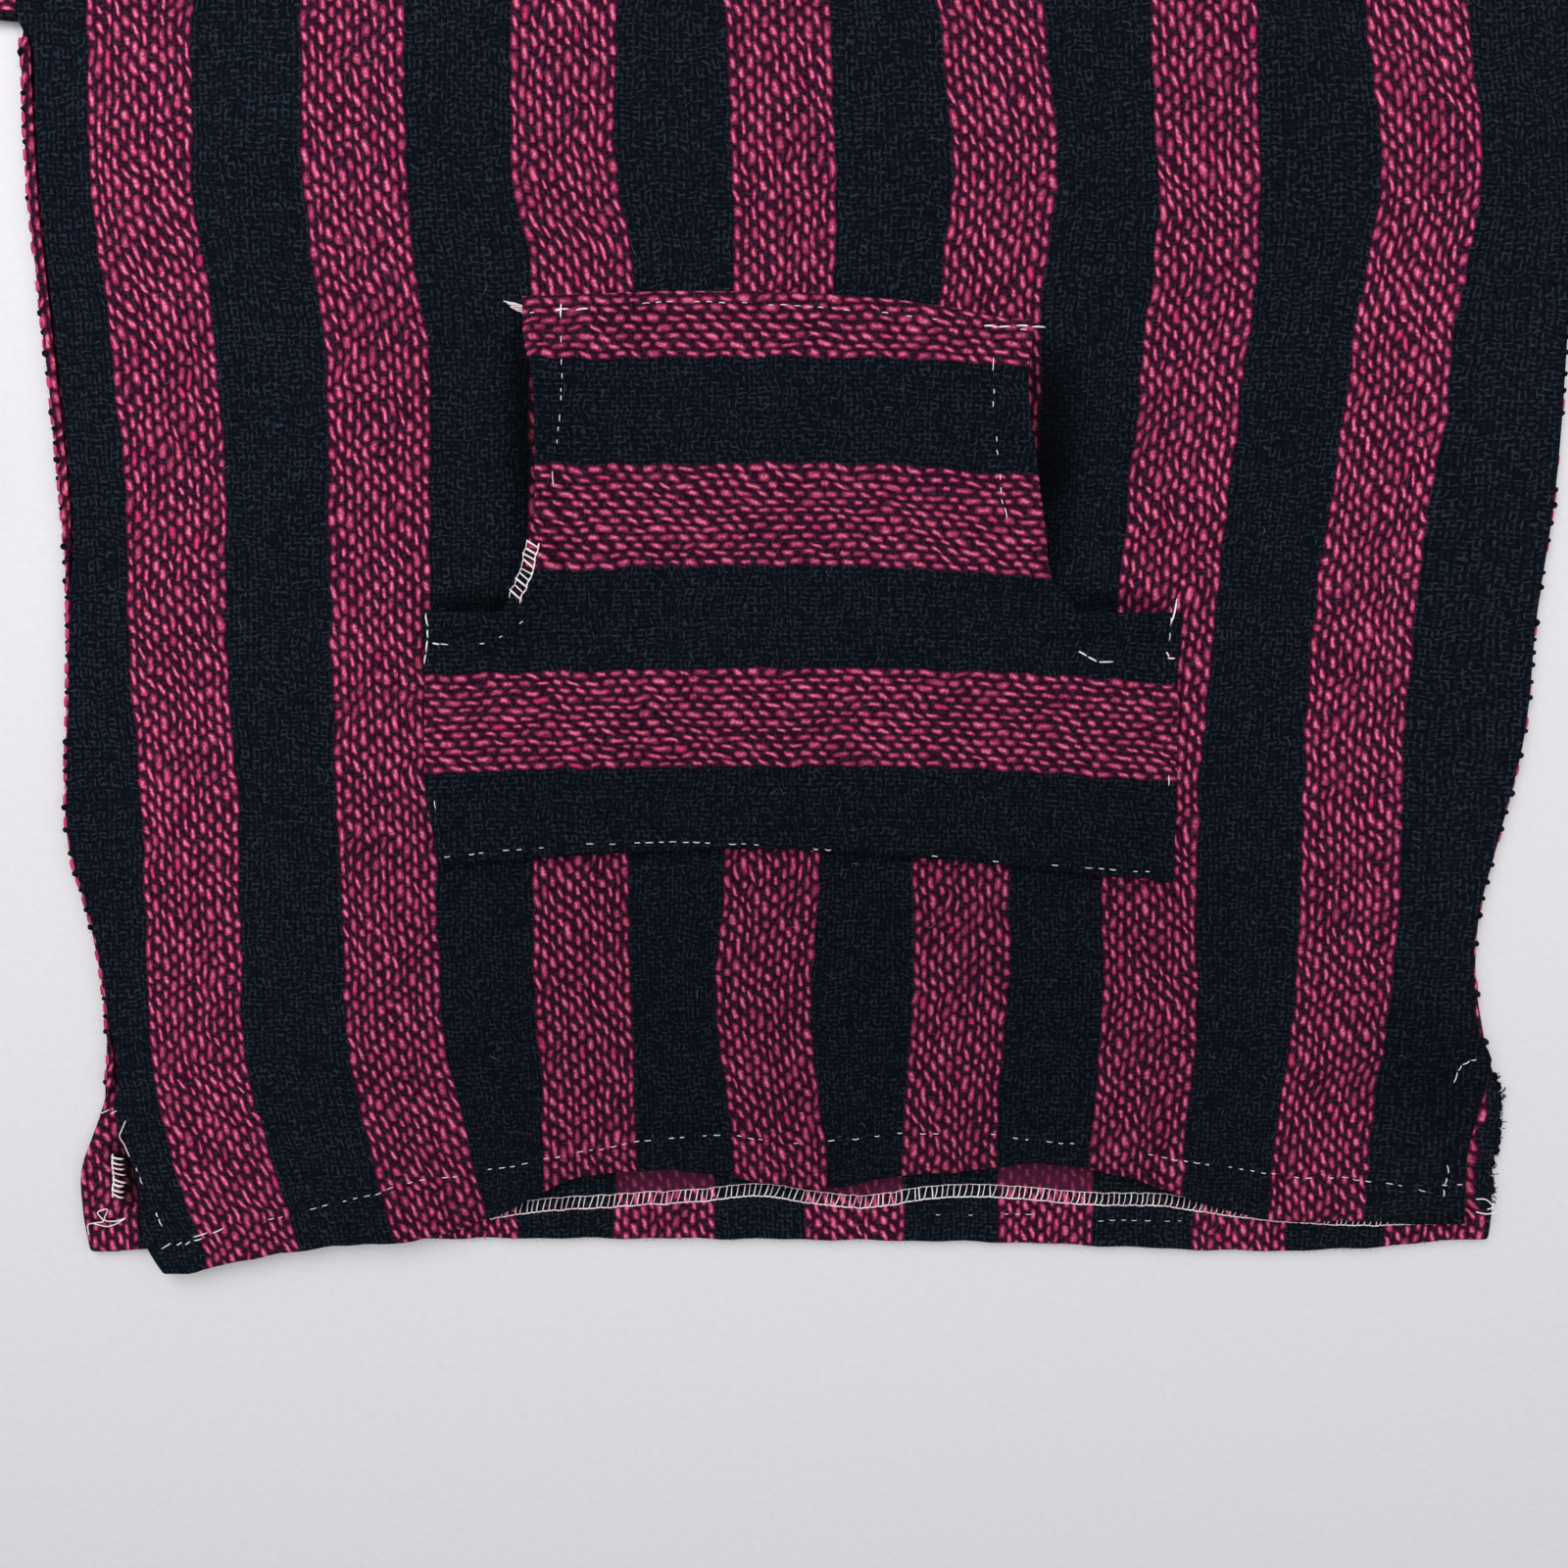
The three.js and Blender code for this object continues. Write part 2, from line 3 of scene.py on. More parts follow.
import bpy
import numpy as np
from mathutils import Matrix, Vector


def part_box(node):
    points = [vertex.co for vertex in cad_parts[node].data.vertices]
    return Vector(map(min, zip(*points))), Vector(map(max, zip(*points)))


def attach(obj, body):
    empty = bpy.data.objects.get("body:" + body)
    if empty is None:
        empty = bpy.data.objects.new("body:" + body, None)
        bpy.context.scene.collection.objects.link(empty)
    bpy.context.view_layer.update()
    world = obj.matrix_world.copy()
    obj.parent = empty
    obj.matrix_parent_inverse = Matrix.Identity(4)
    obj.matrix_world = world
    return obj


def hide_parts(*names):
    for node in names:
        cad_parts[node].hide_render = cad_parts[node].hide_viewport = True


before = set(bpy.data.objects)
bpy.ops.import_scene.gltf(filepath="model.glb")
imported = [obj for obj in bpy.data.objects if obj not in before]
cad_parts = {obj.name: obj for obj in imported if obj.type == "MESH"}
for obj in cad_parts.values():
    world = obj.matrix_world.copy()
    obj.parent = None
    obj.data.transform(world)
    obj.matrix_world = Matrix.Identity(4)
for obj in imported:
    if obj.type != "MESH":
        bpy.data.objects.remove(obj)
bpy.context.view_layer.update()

# Baja hoodie of heavy striped cotton, laid flat and face up.
# Shapes are worked out in garment millimetres: x towards the wearer's left, y from the back hem
# to the hood, z up from the surface. add_piece() turns them into the frame's metres.

MM = 0.001

# Layers of cloth, from the surface up
CLOTH = 2.2
LAYER_GAP = 1.0
CLEARANCE = 0.3
LEAST_WALL = 0.25
BACK_TOP = CLOTH
FRONT_UNDER = BACK_TOP + LAYER_GAP
FRONT_TOP = FRONT_UNDER + CLOTH
SEAM_RADIUS = FRONT_TOP / 2
INNER_RADIUS = LAYER_GAP / 2
THIN_HALF = CLOTH / 2

# Body
HALF_WIDTH = 305.0
ARMPIT_Y = 505.0
ARMHOLE_DEPTH = 250.0
SHOULDER_END_Y = ARMPIT_Y + ARMHOLE_DEPTH
SHOULDER_NECK_Y = 758.0
NECK_HALF_WIDTH = 100.0
BACK_NECK_Y = 746.0
SLIT_BOTTOM_Y = 612.0
HEM_DEPTH = 18.0
HEM_LIFT_END = 62.0
HEM_WOBBLE = 0.5
TURNED_STEP = 1.6
LAYERED_BELOW_Y = 130.0
VENT_TOP = {-1: 62.0, 1: 84.0}
VENT_ALLOWANCE = {-1: 15.5, 1: 9.0}
VENT_FADE_START = 14
VENT_FADE = 10

# Rolled side edges, and the columns and rows that draw them
SEAM_START = 10.0
EDGE_REACH = 11.7
FLAT_INSET = 3.5
SEAM_GROOVE = 0.55
SEAM_GROOVE_WIDTH = 0.22
FREE_ANGLE = math.radians(8)
ROUND_PART = 0.55
SIDE_COLUMNS = 12
END_ROWS = 6
# Place of the seam round the edge, by side: low down, high up, how much further just above the
# vent, where that starts to fade, and over what length
SEAM_PLACES = {-1: (0.6, 1.25, 0.6, 84, 26), 1: (0.45, 0.62, 0.4, 102, 22)}
SEAM_TURN_Y = 250
SEAM_TURN = 70

# The frame's origin is under the middle of the garment; its back panel ends at the shoulder seam
FRAME_SHIFT_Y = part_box("back_panel")[1][1] / MM - SHOULDER_NECK_Y

# Yarns and stripes
STRIPE_REPEAT = 82.3
YARNS_PER_REPEAT = 24
PITCH = STRIPE_REPEAT / YARNS_PER_REPEAT
WEFT_PITCH = 3.55
STRIPE = STRIPE_REPEAT / 2
FINE_YARNS = 1.65
MIDDLE_STRIPE_X = -9.0
POCKET_STRIPE_Y = 211.8

# Floor, lights and camera, in metres
FLOOR_SIZE = 9.0
FLOOR_Z = -0.0002
LIGHT_SIZE = 0.8
LIGHT_AIM = np.array([0.0, -0.2, 0.0])
LIGHTS = [
    ("key_light", (-0.3, 0.5, 0.95), 10.5),
    ("left_light", (-0.9, -0.3, 1.0), 3.5),
    ("right_light", (1.0, -0.25, 1.0), 5.5),
]
ROOM_COLOUR = (0.96, 0.98, 1.0, 1)
ROOM_STRENGTH = 0.45
LENS = 27.0
SENSOR_WIDTH = 36.0
CAMERA_PLACE = (-0.0062, -0.27075, 0.4957)
CAMERA_TILT = math.radians(-7.0)

rng = np.random.default_rng(20)

# Side edges: y, left, right
SIDE_EDGES = np.array([
    (-12, -313, 304.5), (15, -316, 306.5), (35, -315, 305), (50, -309, 307.2), (72, -302, 304.8),
    (98, -299.6, 296.1), (124, -300.7, 291.4), (150, -304.3, 291.5), (176, -309.9, 296.3),
    (226, -307.5, 304.9), (274, -303.4, 306), (322, -302.7, 309.5), (391, -304.9, 309.5),
    (436, -306.5, 308.5), (505, -305, 305), (780, -305, 305),
])
FRONT_SIDE_EDGES = np.vstack([
    [(-12, -280, 292), (0, -286, 292.4), (28, -288.5, 291.8), (47, -294.2, 292),
     (57, -296.8, 295), (72, -300.5, 297.4), (85, -300.1, 300.3)],
    SIDE_EDGES[SIDE_EDGES[:, 0] > 90],
])

# Lower edges: x, y
BACK_HEM = np.array([
    (-316, -6.5), (-306, -7.5), (-290, -4.5), (-250, -1.5), (-200, 0.5), (-60, 1.5), (80, 0),
    (250, -3), (306, 2.5),
])
FRONT_HEM = np.array([
    (-300, -12.5), (-293, -12.8), (-284, -9.9), (-277, -8.2), (-268, -7), (-258, -5.5),
    (-248, -3.6), (-238, -1.8), (-222, 0.2), (-179, 3.5), (-144, 13.5),
    (-109, 29.5), (-66, 36), (-32, 32), (7, 26.5), (37, 31.5), (80, 36), (114, 38.5),
    (157, 29.5), (188, 19), (209, 13.5), (253, 12), (294, 10.5),
])
# How high the front hem stands off the back: x, lift
HEM_LIFTS = np.array([
    (-300, 3.7), (-120, 3.9), (-98, 3.4), (-66, 5.2), (-20, 3.0), (30, 4.0), (80, 5.2),
    (130, 3.6), (180, 3.9), (300, 3.7),
])
# Raw edge of the back's turned hem: x, y
BACK_RAW_EDGE = np.array([
    (-305, 17), (-129, 15.8), (-118, 17.7), (-79, 20.4), (-32, 24.1), (-23, 25.4), (7, 21.8),
    (28, 20), (58, 24.1), (80, 25), (123, 21.8), (166, 20), (183, 17.2), (214, 13.5),
    (250, 11.7), (300, 14),
])
# Rows of the two panels near their hems: distance from the tip's end
FRONT_HEM_STEPS = np.array([
    0.6, 1.6, 3, 5, 7.4, 10, 12.6, 15, 16.8, 18.2, 19.6, 21.4, 24, 27, 30.4, 33.8, 37.2, 40.6,
    44, 48, 52, 56, 60, 64,
])
BACK_HEM_STEPS = np.array([
    0.6, 1.6, 3, 5, 7, 9, 10.5, 11.6, 12.7, 13.8, 14.9, 16, 17.1, 18.2, 19.3, 20.4, 21.5, 22.6,
    23.7, 24.8, 26, 28, 31, 35, 40, 47, 56, 66,
])

# Soft ridges and troughs of the front: x, y, turn in degrees, length, half width, height
FRONT_FOLDS = [
    (-276, 402, 84, 150, 13, 2.0), (-262, 300, 118, 120, 15, 1.6), (-248, 205, 70, 110, 15, 1.3),
    (196, 372, 66, 160, 16, 2.1), (236, 262, 100, 150, 15, 1.5), (262, 158, 74, 120, 14, 1.4),
    (-190, 470, 24, 150, 17, 1.6), (178, 505, 152, 190, 18, 1.9), (-215, 590, 48, 190, 17, 1.9),
    (222, 640, 126, 160, 16, 1.6), (-20, 535, 92, 130, 18, 1.4),
    (-286, 432, 82, 70, 8, -1.3), (-238, 300, 35, 130, 12, 1.5), (-222, 268, 28, 110, 10, -1.0),
    (-196, 340, 62, 120, 13, 1.2), (-205, 120, 100, 130, 16, 1.3), (-120, 110, 76, 110, 15, 1.1),
    (158, 415, 70, 110, 11, -1.2), (215, 430, 96, 120, 13, 1.3), (272, 330, 86, 130, 12, 1.6),
    (180, 120, 104, 110, 15, 1.3), (120, 105, 82, 90, 14, 1.0), (40, 120, 95, 90, 15, 1.0),
    (-40, 110, 84, 90, 14, 1.1), (240, 60, 60, 90, 12, 1.2), (-240, 40, 120, 90, 12, 1.0),
    (0, 440, 88, 90, 14, 1.0), (120, 450, 110, 90, 13, 0.9),
    (-124, 345, 92, 100, 8, 2.2), (-110, 340, 90, 120, 5, -0.9), (118, 350, 84, 110, 9, 2.0),
    (103, 345, 88, 120, 5, -0.9), (-136, 286, 2, 50, 6, 1.4), (136, 287, -4, 60, 6, 1.4),
]
FOLD_CLEARANCE = 26.0

# How far each pink stripe of the front stands from its even place: y, then one column a stripe
STRIPE_DRIFT = np.array([
    (-14, 21, 21, 1, 1.2, -8.5, -9, -12, 3), (17, 17.5, 17.5, 1, 1.2, -8.5, -9, -12, 3),
    (41, 13, 13.5, 0.5, 1.4, -7.5, -9, -13, 4), (60, 5.5, 8, 0.8, -2.8, -7, -6.5, -10, 6),
    (94, -3, 0.3, -1.4, -7, -3, -4.4, -5.4, 3), (146, -3.2, -0.6, -1, -2.5, -4.7, -7, -3.7, 6),
    (221, 0, -0.2, -0.5, -2, -3, -7, -5.8, 9.5), (269, -1.5, 0.5, 0, -0.5, 0, -4, -5, 10.5),
    (318, 1.6, 2, 1.2, 0.8, 3, -1.2, -1.8, 14), (345, 2.4, 3.2, 2, 1.5, 3.8, 1, 1.6, 14),
    (370, 1.3, 4, 2.8, 1.6, 3.8, 2.4, 3.4, 14), (395, 0.8, 3.2, 4, 2, 2.6, 5.4, 4.8, 14),
    (412, -0.6, 0, 4.6, 3, 4.5, 6.4, 7, 14), (432, -3.2, -1.5, 0.3, 3, 7, 6.5, 10.6, 13),
    (520, 0, 0, 0, 0, 0, 0, 0, 0), (760, 0, 0, 0, 0, 0, 0, 0, 0),
])
# Edges of the back's stripes at its hem, from one pink stripe's left edge to the next
BACK_STRIPE_EDGES = np.array([
    -333, -291, -248, -206, -163, -124, -81, -37, 3, 47, 88, 130, 174, 216, 259, 305, 346,
])
BACK_FIRST_STRIPE = -244.7 - STRIPE * 2

# Pocket edges: y, left, right, below the shelves and above them
POCKET_WINGS = np.array([
    (166, -152, 158), (200, -156, 158), (240, -155, 157), (275, -153.5, 156),
])
POCKET_MIDDLE = np.array([
    (166, -120, 112), (240, -121, 113), (274, -121.5, 114.5), (277.5, -120, 112.5),
    (287, -114.8, 104.5), (308, -106.5, 99), (325, -105.6, 96), (337, -105.2, 94.4),
    (352, -105.4, 92), (365, -106.5, 90.8), (374, -109.2, 91.2), (392, -110.4, 93.6),
])
POCKET_SHELF_Y = 276.0
POCKET_LOW_Y = np.array([(-157, 170.5), (-6, 177.3), (60, 173), (158, 163)])
POCKET_TOP_Y = np.array([(-109, 400.5), (-37, 402.5), (5, 401.5), (48, 398), (96, 390)])
# Lifted edges of the two hand openings: x, y, half width, half length, height
POCKET_LIPS = [(-108, 335, 15, 50, 8.2), (98, 338, 14, 48, 7.6)]
# Dips at the knees, where the wings pull, and soft ridges: x, y, turn in degrees, length, half
# width, height
POCKET_PULLS = [
    (-103, 284, 62, 44, 6, -1.6), (95, 262, 84, 60, 7, -1.5), (-60, 240, 20, 90, 12, 1.0),
    (62, 300, 150, 90, 13, 1.2), (-30, 330, 100, 90, 14, 1.0), (120, 225, 96, 70, 10, 0.9),
    (-126, 225, 84, 70, 10, 0.9), (10, 215, 4, 150, 11, -0.7), (40, 372, 8, 90, 9, 0.8),
]
# Shade on the front beside the openings, above the shelves and near the right vent: x, y, half
# width, half height, strength
FRONT_SHADES = [
    (-111, 352, 8, 42, 0.85), (102, 354, 13, 30, 0.85), (103, 316, 10, 26, 0.55),
    (-131, 279.5, 24, 5, 0.85), (127, 280, 22, 4.5, 0.7), (265, 88, 45, 32, 0.32),
    (300, 30, 34, 60, 0.3),
]
POCKET_GAP = 0.4
POCKET_ALLOWANCE = 11.0

# Sleeve
SLEEVE_LENGTH = 469.0
SLEEVE_MID_Y = ARMPIT_Y + ARMHOLE_DEPTH / 2
CUFF_WIDTH = 158.0
FOLD_REACH = 135.0
FOREARM_WAY = np.array([-0.1, -0.995])
FOLD_RADIUS = 0.3
FOLD_NEUTRAL = FOLD_RADIUS + FRONT_TOP / 2
FOLD_RISE = 2 * (FRONT_TOP + FOLD_RADIUS)
FOLD_WRAP = math.pi * FOLD_NEUTRAL
FOREARM_DROP = (488.0, 438.0)
# Folds on the forearm's upper face: along, across, turn in degrees, length, half width, height
SLEEVE_FOLDS = [
    (300, 18, 8, 170, 12, 1.5), (392, -28, -12, 120, 11, 1.2), (250, -40, 34, 110, 12, 1.4),
    (430, 30, 20, 70, 9, -0.9), (210, 45, -28, 90, 12, 1.2), (345, 48, -6, 120, 9, 1.0),
]

# Hood half: share of the way up, back seam y, side fold x and y, opening edge x and y
HOOD_ROWS = np.array([
    (0, 746.4, 99.5, 759.2, 0.15, 613.1), (0.1, 775, 131, 786, 20, 664),
    (0.25, 822, 156, 846, 45, 735), (0.45, 885, 167, 925, 60, 822),
    (0.65, 952, 160, 1001, 55, 900), (0.8, 1008, 132, 1046, 37, 955),
    (0.91, 1043, 80, 1073, 15, 985), (1, 1069, 0.15, 1084, 0.15, 998),
])
HOOD_SEAM_X = 0.15
HOOD_NECK_SAG = 12.8
HOOD_HALF_CUT = 167.0
# Folds of the hood's upper layer: share up, share across, half width, spread, height
HOOD_FOLDS = [
    (0.3, 0.5, 0.18, 0.22, 1.7), (0.66, 0.42, 0.16, 0.2, 1.4), (0.48, 0.75, 0.1, 0.12, 1.0),
    (0.15, 0.7, 0.12, 0.07, 1.1),
]

# Lockstitches, strands of the tuft at the pocket's corner, and fibres of lint
DASH_PITCH = 5.0
TUFT_STRANDS = 7
LINT_COUNT = 230
# Yarns that turn round the side edges: how often a black one shows, and by side how often a
# pink one does and how many degrees round the edge it lies
NUB_CHANCE = 0.72
FLOAT_CHANCE = {-1: 0.85, 1: 0.5}
FLOAT_TURNS = {-1: (5, 60), 1: (-25, 5)}

# Sewing lines: x, y
HEM_STITCH = np.array([
    (-278.9, 0.2), (-259.2, 6.6), (-242.2, 10.6), (-217.5, 17), (-184.2, 25.5), (-167.8, 31.3),
    (-148, 34), (-121.9, 38.5), (-95.4, 44.3), (-68.1, 50.1), (-54.6, 51), (-32.9, 51.9),
    (-5.3, 47.9), (13.3, 49.2), (41.7, 53.2), (79.9, 53.2), (114.4, 48.8), (139.1, 46.1),
    (160.1, 41.6), (176.8, 39), (203, 34.9), (221, 32.2), (235.4, 33.1), (266.9, 28.2),
    (281.7, 23.7),
])
POCKET_TOP_STITCH = np.array([
    (-107.4, 393.2), (-76.3, 395.9), (-52, 398.0), (-37.3, 397.8), (4.7, 396.0), (48.4, 392.2),
    (96.4, 385.7),
])
POCKET_LOW_STITCH = np.array([
    (-149.1, 174.6), (-120.6, 177.5), (-88.8, 180), (-44.8, 180.9), (-4.9, 179.2), (20.2, 177),
    (47.3, 175.4), (110.5, 170.7), (152.6, 167.8),
])
BACK_HEM_STITCHES = [[(60.0, 13.6), (110.0, 13.6)], [(132.0, 10.8), (178.0, 10.8)]]

# Single stitches: x, y, x, y
HEM_LEFT_STITCHES = [
    (-279.4, -0.3, -274.4, 2.9), (-272.4, 1.6, -269.6, 3.2), (-268.6, 1.8, -266.0, 3.6),
    (-264.8, 3.8, -260.6, 4.8), (-265.3, 5.4, -257.9, 7.6), (-256.5, 7.2, -250.9, 9.9),
    (-279.3, 14.3, -277.8, 10.2), (-280.1, 17.0, -279.4, 14.8),
]
VENT_STITCHES = [
    (-288.5, 36.7, -287.7, 34.9), (-287.0, 32.7, -285.6, 29.1), (-303.7, 60.4, -299.4, 62.2),
    (-299.2, 60.3, -296.0, 61.9), (283.7, 73.9, 285.4, 79.6), (285.4, 79.6, 286.9, 82.3),
    (286.9, 82.3, 290.6, 84.4), (290.6, 84.4, 293.4, 84.9), (281.5, 39.0, 282.4, 34.5),
    (281.9, 33.0, 281.5, 29.0), (280.2, 29.2, 283.0, 29.0), (281.4, 27.4, 281.2, 23.7),
    (286.8, 29.3, 289.6, 29.4),
]
POCKET_STITCHES = [
    (-94.8, 385.4, -94.9, 381.7), (-94.6, 375.8, -94.7, 373.0), (-94.4, 370.3, -94.4, 367.6),
    (-94.9, 364.5, -94.9, 362.6), (-94.9, 361.8, -95.0, 359.2), (-95.5, 354.2, -95.6, 351.0),
    (-96.0, 349.2, -96.1, 347.3), (-96.5, 344.2, -96.6, 342.3), (-98.6, 332.3, -98.2, 325.1),
    (77.5, 377.5, 77.3, 371.1), (77.8, 364.7, 77.8, 362.3), (77.5, 360.0, 77.6, 357.2),
    (79.2, 346.4, 79.5, 343.8), (79.4, 341.2, 80.0, 338.3), (80.9, 331.7, 81.0, 328.4),
    (81.2, 326.4, 81.4, 323.2), (81.5, 321.5, 82.2, 318.9), (82.8, 318.5, 84.1, 312.7),
    (-147.1, 263.3, -143.5, 262.9), (-131.4, 263.3, -129.0, 263.4), (-122.9, 265.7, -121.0, 266.6),
    (-113.9, 271.3, -112.3, 272.5), (150.9, 274.1, 150.9, 270.5), (151.2, 268.0, 151.3, 264.1),
    (-152.0, 198.7, -151.5, 194.5), (153.7, 209.4, 154.0, 204.2),
]
POCKET_TACKS = [
    (-94.5, 397.4, -94.7, 391.4), (-97.0, 394.6, -91.0, 395.1), (-89.0, 394.6, -83.6, 395.4),
    (73.0, 388.8, 77.7, 388.6), (78.6, 388.2, 84.0, 388.2), (85.5, 388.4, 90.6, 388.2),
    (91.7, 387.7, 97.2, 387.5), (-151.5, 275.6, -150.9, 270.1), (-151.3, 269.0, -151.6, 265.5),
    (-151.9, 264.9, -153.0, 259.5), (-153.2, 259.0, -154.0, 254.9), (-150.2, 263.6, -147.0, 263.0),
    (153.4, 281.5, 150.9, 271.0), (114.7, 260.5, 118.8, 258.1), (118.8, 258.1, 122.9, 255.9),
    (123.2, 255.8, 129.8, 255.9), (150.6, 260.1, 152.0, 257.8), (151.2, 257.4, 154.6, 257.3),
]
LEFT_KNEE_EDGE = [(-105.6, 303.6), (-109.2, 291.9), (-114.6, 281.0)]
LEFT_VENT_EDGE = [(-299.8, 21.5), (-299.0, 32.0), (-298.6, 43.0)]
LEFT_VENT_TACK = [
    (-313.0, 4.2), (-313.1, 8.7), (-310.5, 9.7), (-306.1, 10.6), (-308.4, 14.6), (-304.0, 16.0),
    (-305.6, 11.2), (-300.9, 10.6), (-296.5, 11.9), (-303.7, 8.2), (-311.3, 9.7),
]
RIGHT_VENT_LOOP = [(297.7, 21.0), (301.6, 21.0), (304.3, 19.2), (305.4, 17.4), (303.0, 16.2)]
RIGHT_VENT_END = [(298.2, 15.1), (303.0, 14.2), (308.6, 15.1)]
LONG_END = [(-292.3, 57.5), (-293.8, 53.9), (-294.1, 51.2), (-293.0, 47.2), (-290.9, 41.6)]
TUFT = [(-106.6, 394.2), (-118.0, 398.8)]


def smooth(t):
    held = np.clip(t, 0.0, 1.0)
    return held * held * (3 - 2 * held)


def mix(a, b, t):
    return a + (b - a) * t


def curve(table, place, column=1):
    """Smooth curve through one column of a table, held beyond its ends."""
    keys = table[:, 0].astype(float)
    values = table[:, column].astype(float)
    slopes = np.gradient(values, keys)
    place = np.clip(np.asarray(place, dtype=float), keys[0], keys[-1])
    i = np.clip(np.searchsorted(keys, place) - 1, 0, len(keys) - 2)
    span = keys[i + 1] - keys[i]
    t = (place - keys[i]) / span
    t2 = t * t
    t3 = t2 * t
    return ((2 * t3 - 3 * t2 + 1) * values[i] + (t3 - 2 * t2 + t) * span * slopes[i]
            + (3 * t2 - 2 * t3) * values[i + 1] + (t3 - t2) * span * slopes[i + 1])


def make_waves(count, shortest, longest, height):
    """Directions, wavelengths and phases of an uneven small rippling."""
    turn = rng.uniform(0, math.pi, count)
    length = rng.uniform(shortest, longest, count)
    phase = rng.uniform(0, 2 * math.pi, count)
    return np.stack([np.cos(turn) / length, np.sin(turn) / length, phase,
                     np.full(count, height / math.sqrt(count))], axis=1)


RIPPLES = make_waves(14, 22, 70, 0.62)
HEM_RIPPLES = make_waves(6, 9, 26, 0.5)


def ripple(waves, x, y):
    total = 0.0
    for across, up, phase, height in waves:
        total = total + height * np.sin(2 * math.pi * (x * across + y * up) + phase)
    return total


def fold_height(fold, x, y):
    fold_x, fold_y, turn, length, width, height = fold
    cosine = math.cos(math.radians(turn))
    sine = math.sin(math.radians(turn))
    along = (x - fold_x) * cosine + (y - fold_y) * sine
    across = (y - fold_y) * cosine - (x - fold_x) * sine
    return height * np.exp(-(across / width) ** 2) * np.exp(-(along / (length / 2)) ** 4)


# Shapes of the body's edges

def shoulder_y(x):
    t = (np.abs(x) - NECK_HALF_WIDTH) / (HALF_WIDTH - NECK_HALF_WIDTH)
    return mix(SHOULDER_NECK_Y, SHOULDER_END_Y, t)


def back_top_edge(x):
    t = np.abs(x) / NECK_HALF_WIDTH
    neck = mix(BACK_NECK_Y, SHOULDER_NECK_Y, np.minimum(t, 1) ** 2)
    return np.where(t < 1, neck, shoulder_y(x))


def front_top_edge(x):
    t = np.abs(x) / NECK_HALF_WIDTH
    return np.where(t < 1, mix(SLIT_BOTTOM_Y, SHOULDER_NECK_Y, np.minimum(t, 1)), shoulder_y(x))


def front_hem_y(x):
    return curve(FRONT_HEM, x) + HEM_WOBBLE * np.sin(x / 5.1) * np.sin(x / 13.7)


def back_hem_y(x):
    return curve(BACK_HEM, x) + HEM_WOBBLE * np.sin(x / 4.7 + 1) * np.sin(x / 17.3)


def side_edge(table, side, y):
    return curve(table, y, 1 if side < 0 else 2)


def vent_share(side, y):
    """1 beside an open vent, 0 above it."""
    return 1 - smooth((y - VENT_TOP[side] + VENT_FADE_START) / VENT_FADE)


def vent_turned(table, x, y):
    """1 on the turned strip beside an open vent, 0 elsewhere."""
    turned = 0.0
    for side in (-1, 1):
        inset = side * (side_edge(table, side, y) - x)
        strip = 1 - smooth((inset - VENT_ALLOWANCE[side] + TURNED_STEP / 2) / TURNED_STEP)
        turned = np.maximum(turned, strip * vent_share(side, y))
    return turned


# Heights of the body's faces

def back_top(x, y):
    """Height of the back's upper face, with its turned hem and vents."""
    raw_edge = curve(BACK_RAW_EDGE, x) + 0.4 * np.sin(x / 2.3)
    hem_turned = 1 - smooth((y - raw_edge + 1.3) / TURNED_STEP)
    turned = np.maximum(hem_turned, vent_turned(SIDE_EDGES, x, y))
    inside = smooth((HALF_WIDTH - 4 - np.abs(x)) / 12) * smooth((y - back_hem_y(x) - 3) / 8)
    return BACK_TOP * (1 + turned) + 0.35 * inside * ripple(RIPPLES, x, y + 90)


def hem_lift(x, y, from_hem):
    """How high the front's hem stands off the back, over a longer way beside the vents."""
    left_inset = x - side_edge(FRONT_SIDE_EDGES, -1, y)
    right_inset = side_edge(FRONT_SIDE_EDGES, 1, y) - x
    near_vent = 1 - smooth((np.minimum(left_inset, right_inset) - 8) / 30)
    end = HEM_LIFT_END + near_vent * 22
    hem_share = 1 - smooth((from_hem - HEM_DEPTH) / (end - HEM_DEPTH))
    return hem_share * (curve(HEM_LIFTS, x) + 0.5 * ripple(HEM_RIPPLES, x, 0 * y))


def front_rise(x, y):
    from_hem = y - front_hem_y(x)
    clear = smooth((HALF_WIDTH - np.abs(x)) / FOLD_CLEARANCE)
    clear = clear * smooth((front_top_edge(x) - y) / FOLD_CLEARANCE)
    folds = sum(fold_height(fold, x, y) for fold in FRONT_FOLDS)
    away = smooth((from_hem - HEM_LIFT_END) / FOLD_CLEARANCE)
    small = 0.5 * clear * ripple(RIPPLES, x, y)
    seam_dip = -0.8 * np.exp(-((from_hem - HEM_DEPTH) / 2.6) ** 2)
    return clear * away * folds + hem_lift(x, y, from_hem) + small + seam_dip


def front_layers(x, y):
    hem = 1 - smooth((y - front_hem_y(x) - HEM_DEPTH) / 2.5)
    return 1 + np.maximum(hem, vent_turned(FRONT_SIDE_EDGES, x, y))


def front_top(x, y):
    """Height of the front's upper face."""
    wanted = FRONT_TOP + front_rise(x, y)
    lowest = back_top(x, y) + CLEARANCE + CLOTH * front_layers(x, y)
    return np.where(y < LAYERED_BELOW_Y, np.maximum(wanted, lowest), wanted)


# Closed walls from two grids of points

def grid(*parts):
    return np.stack(parts, axis=-1)


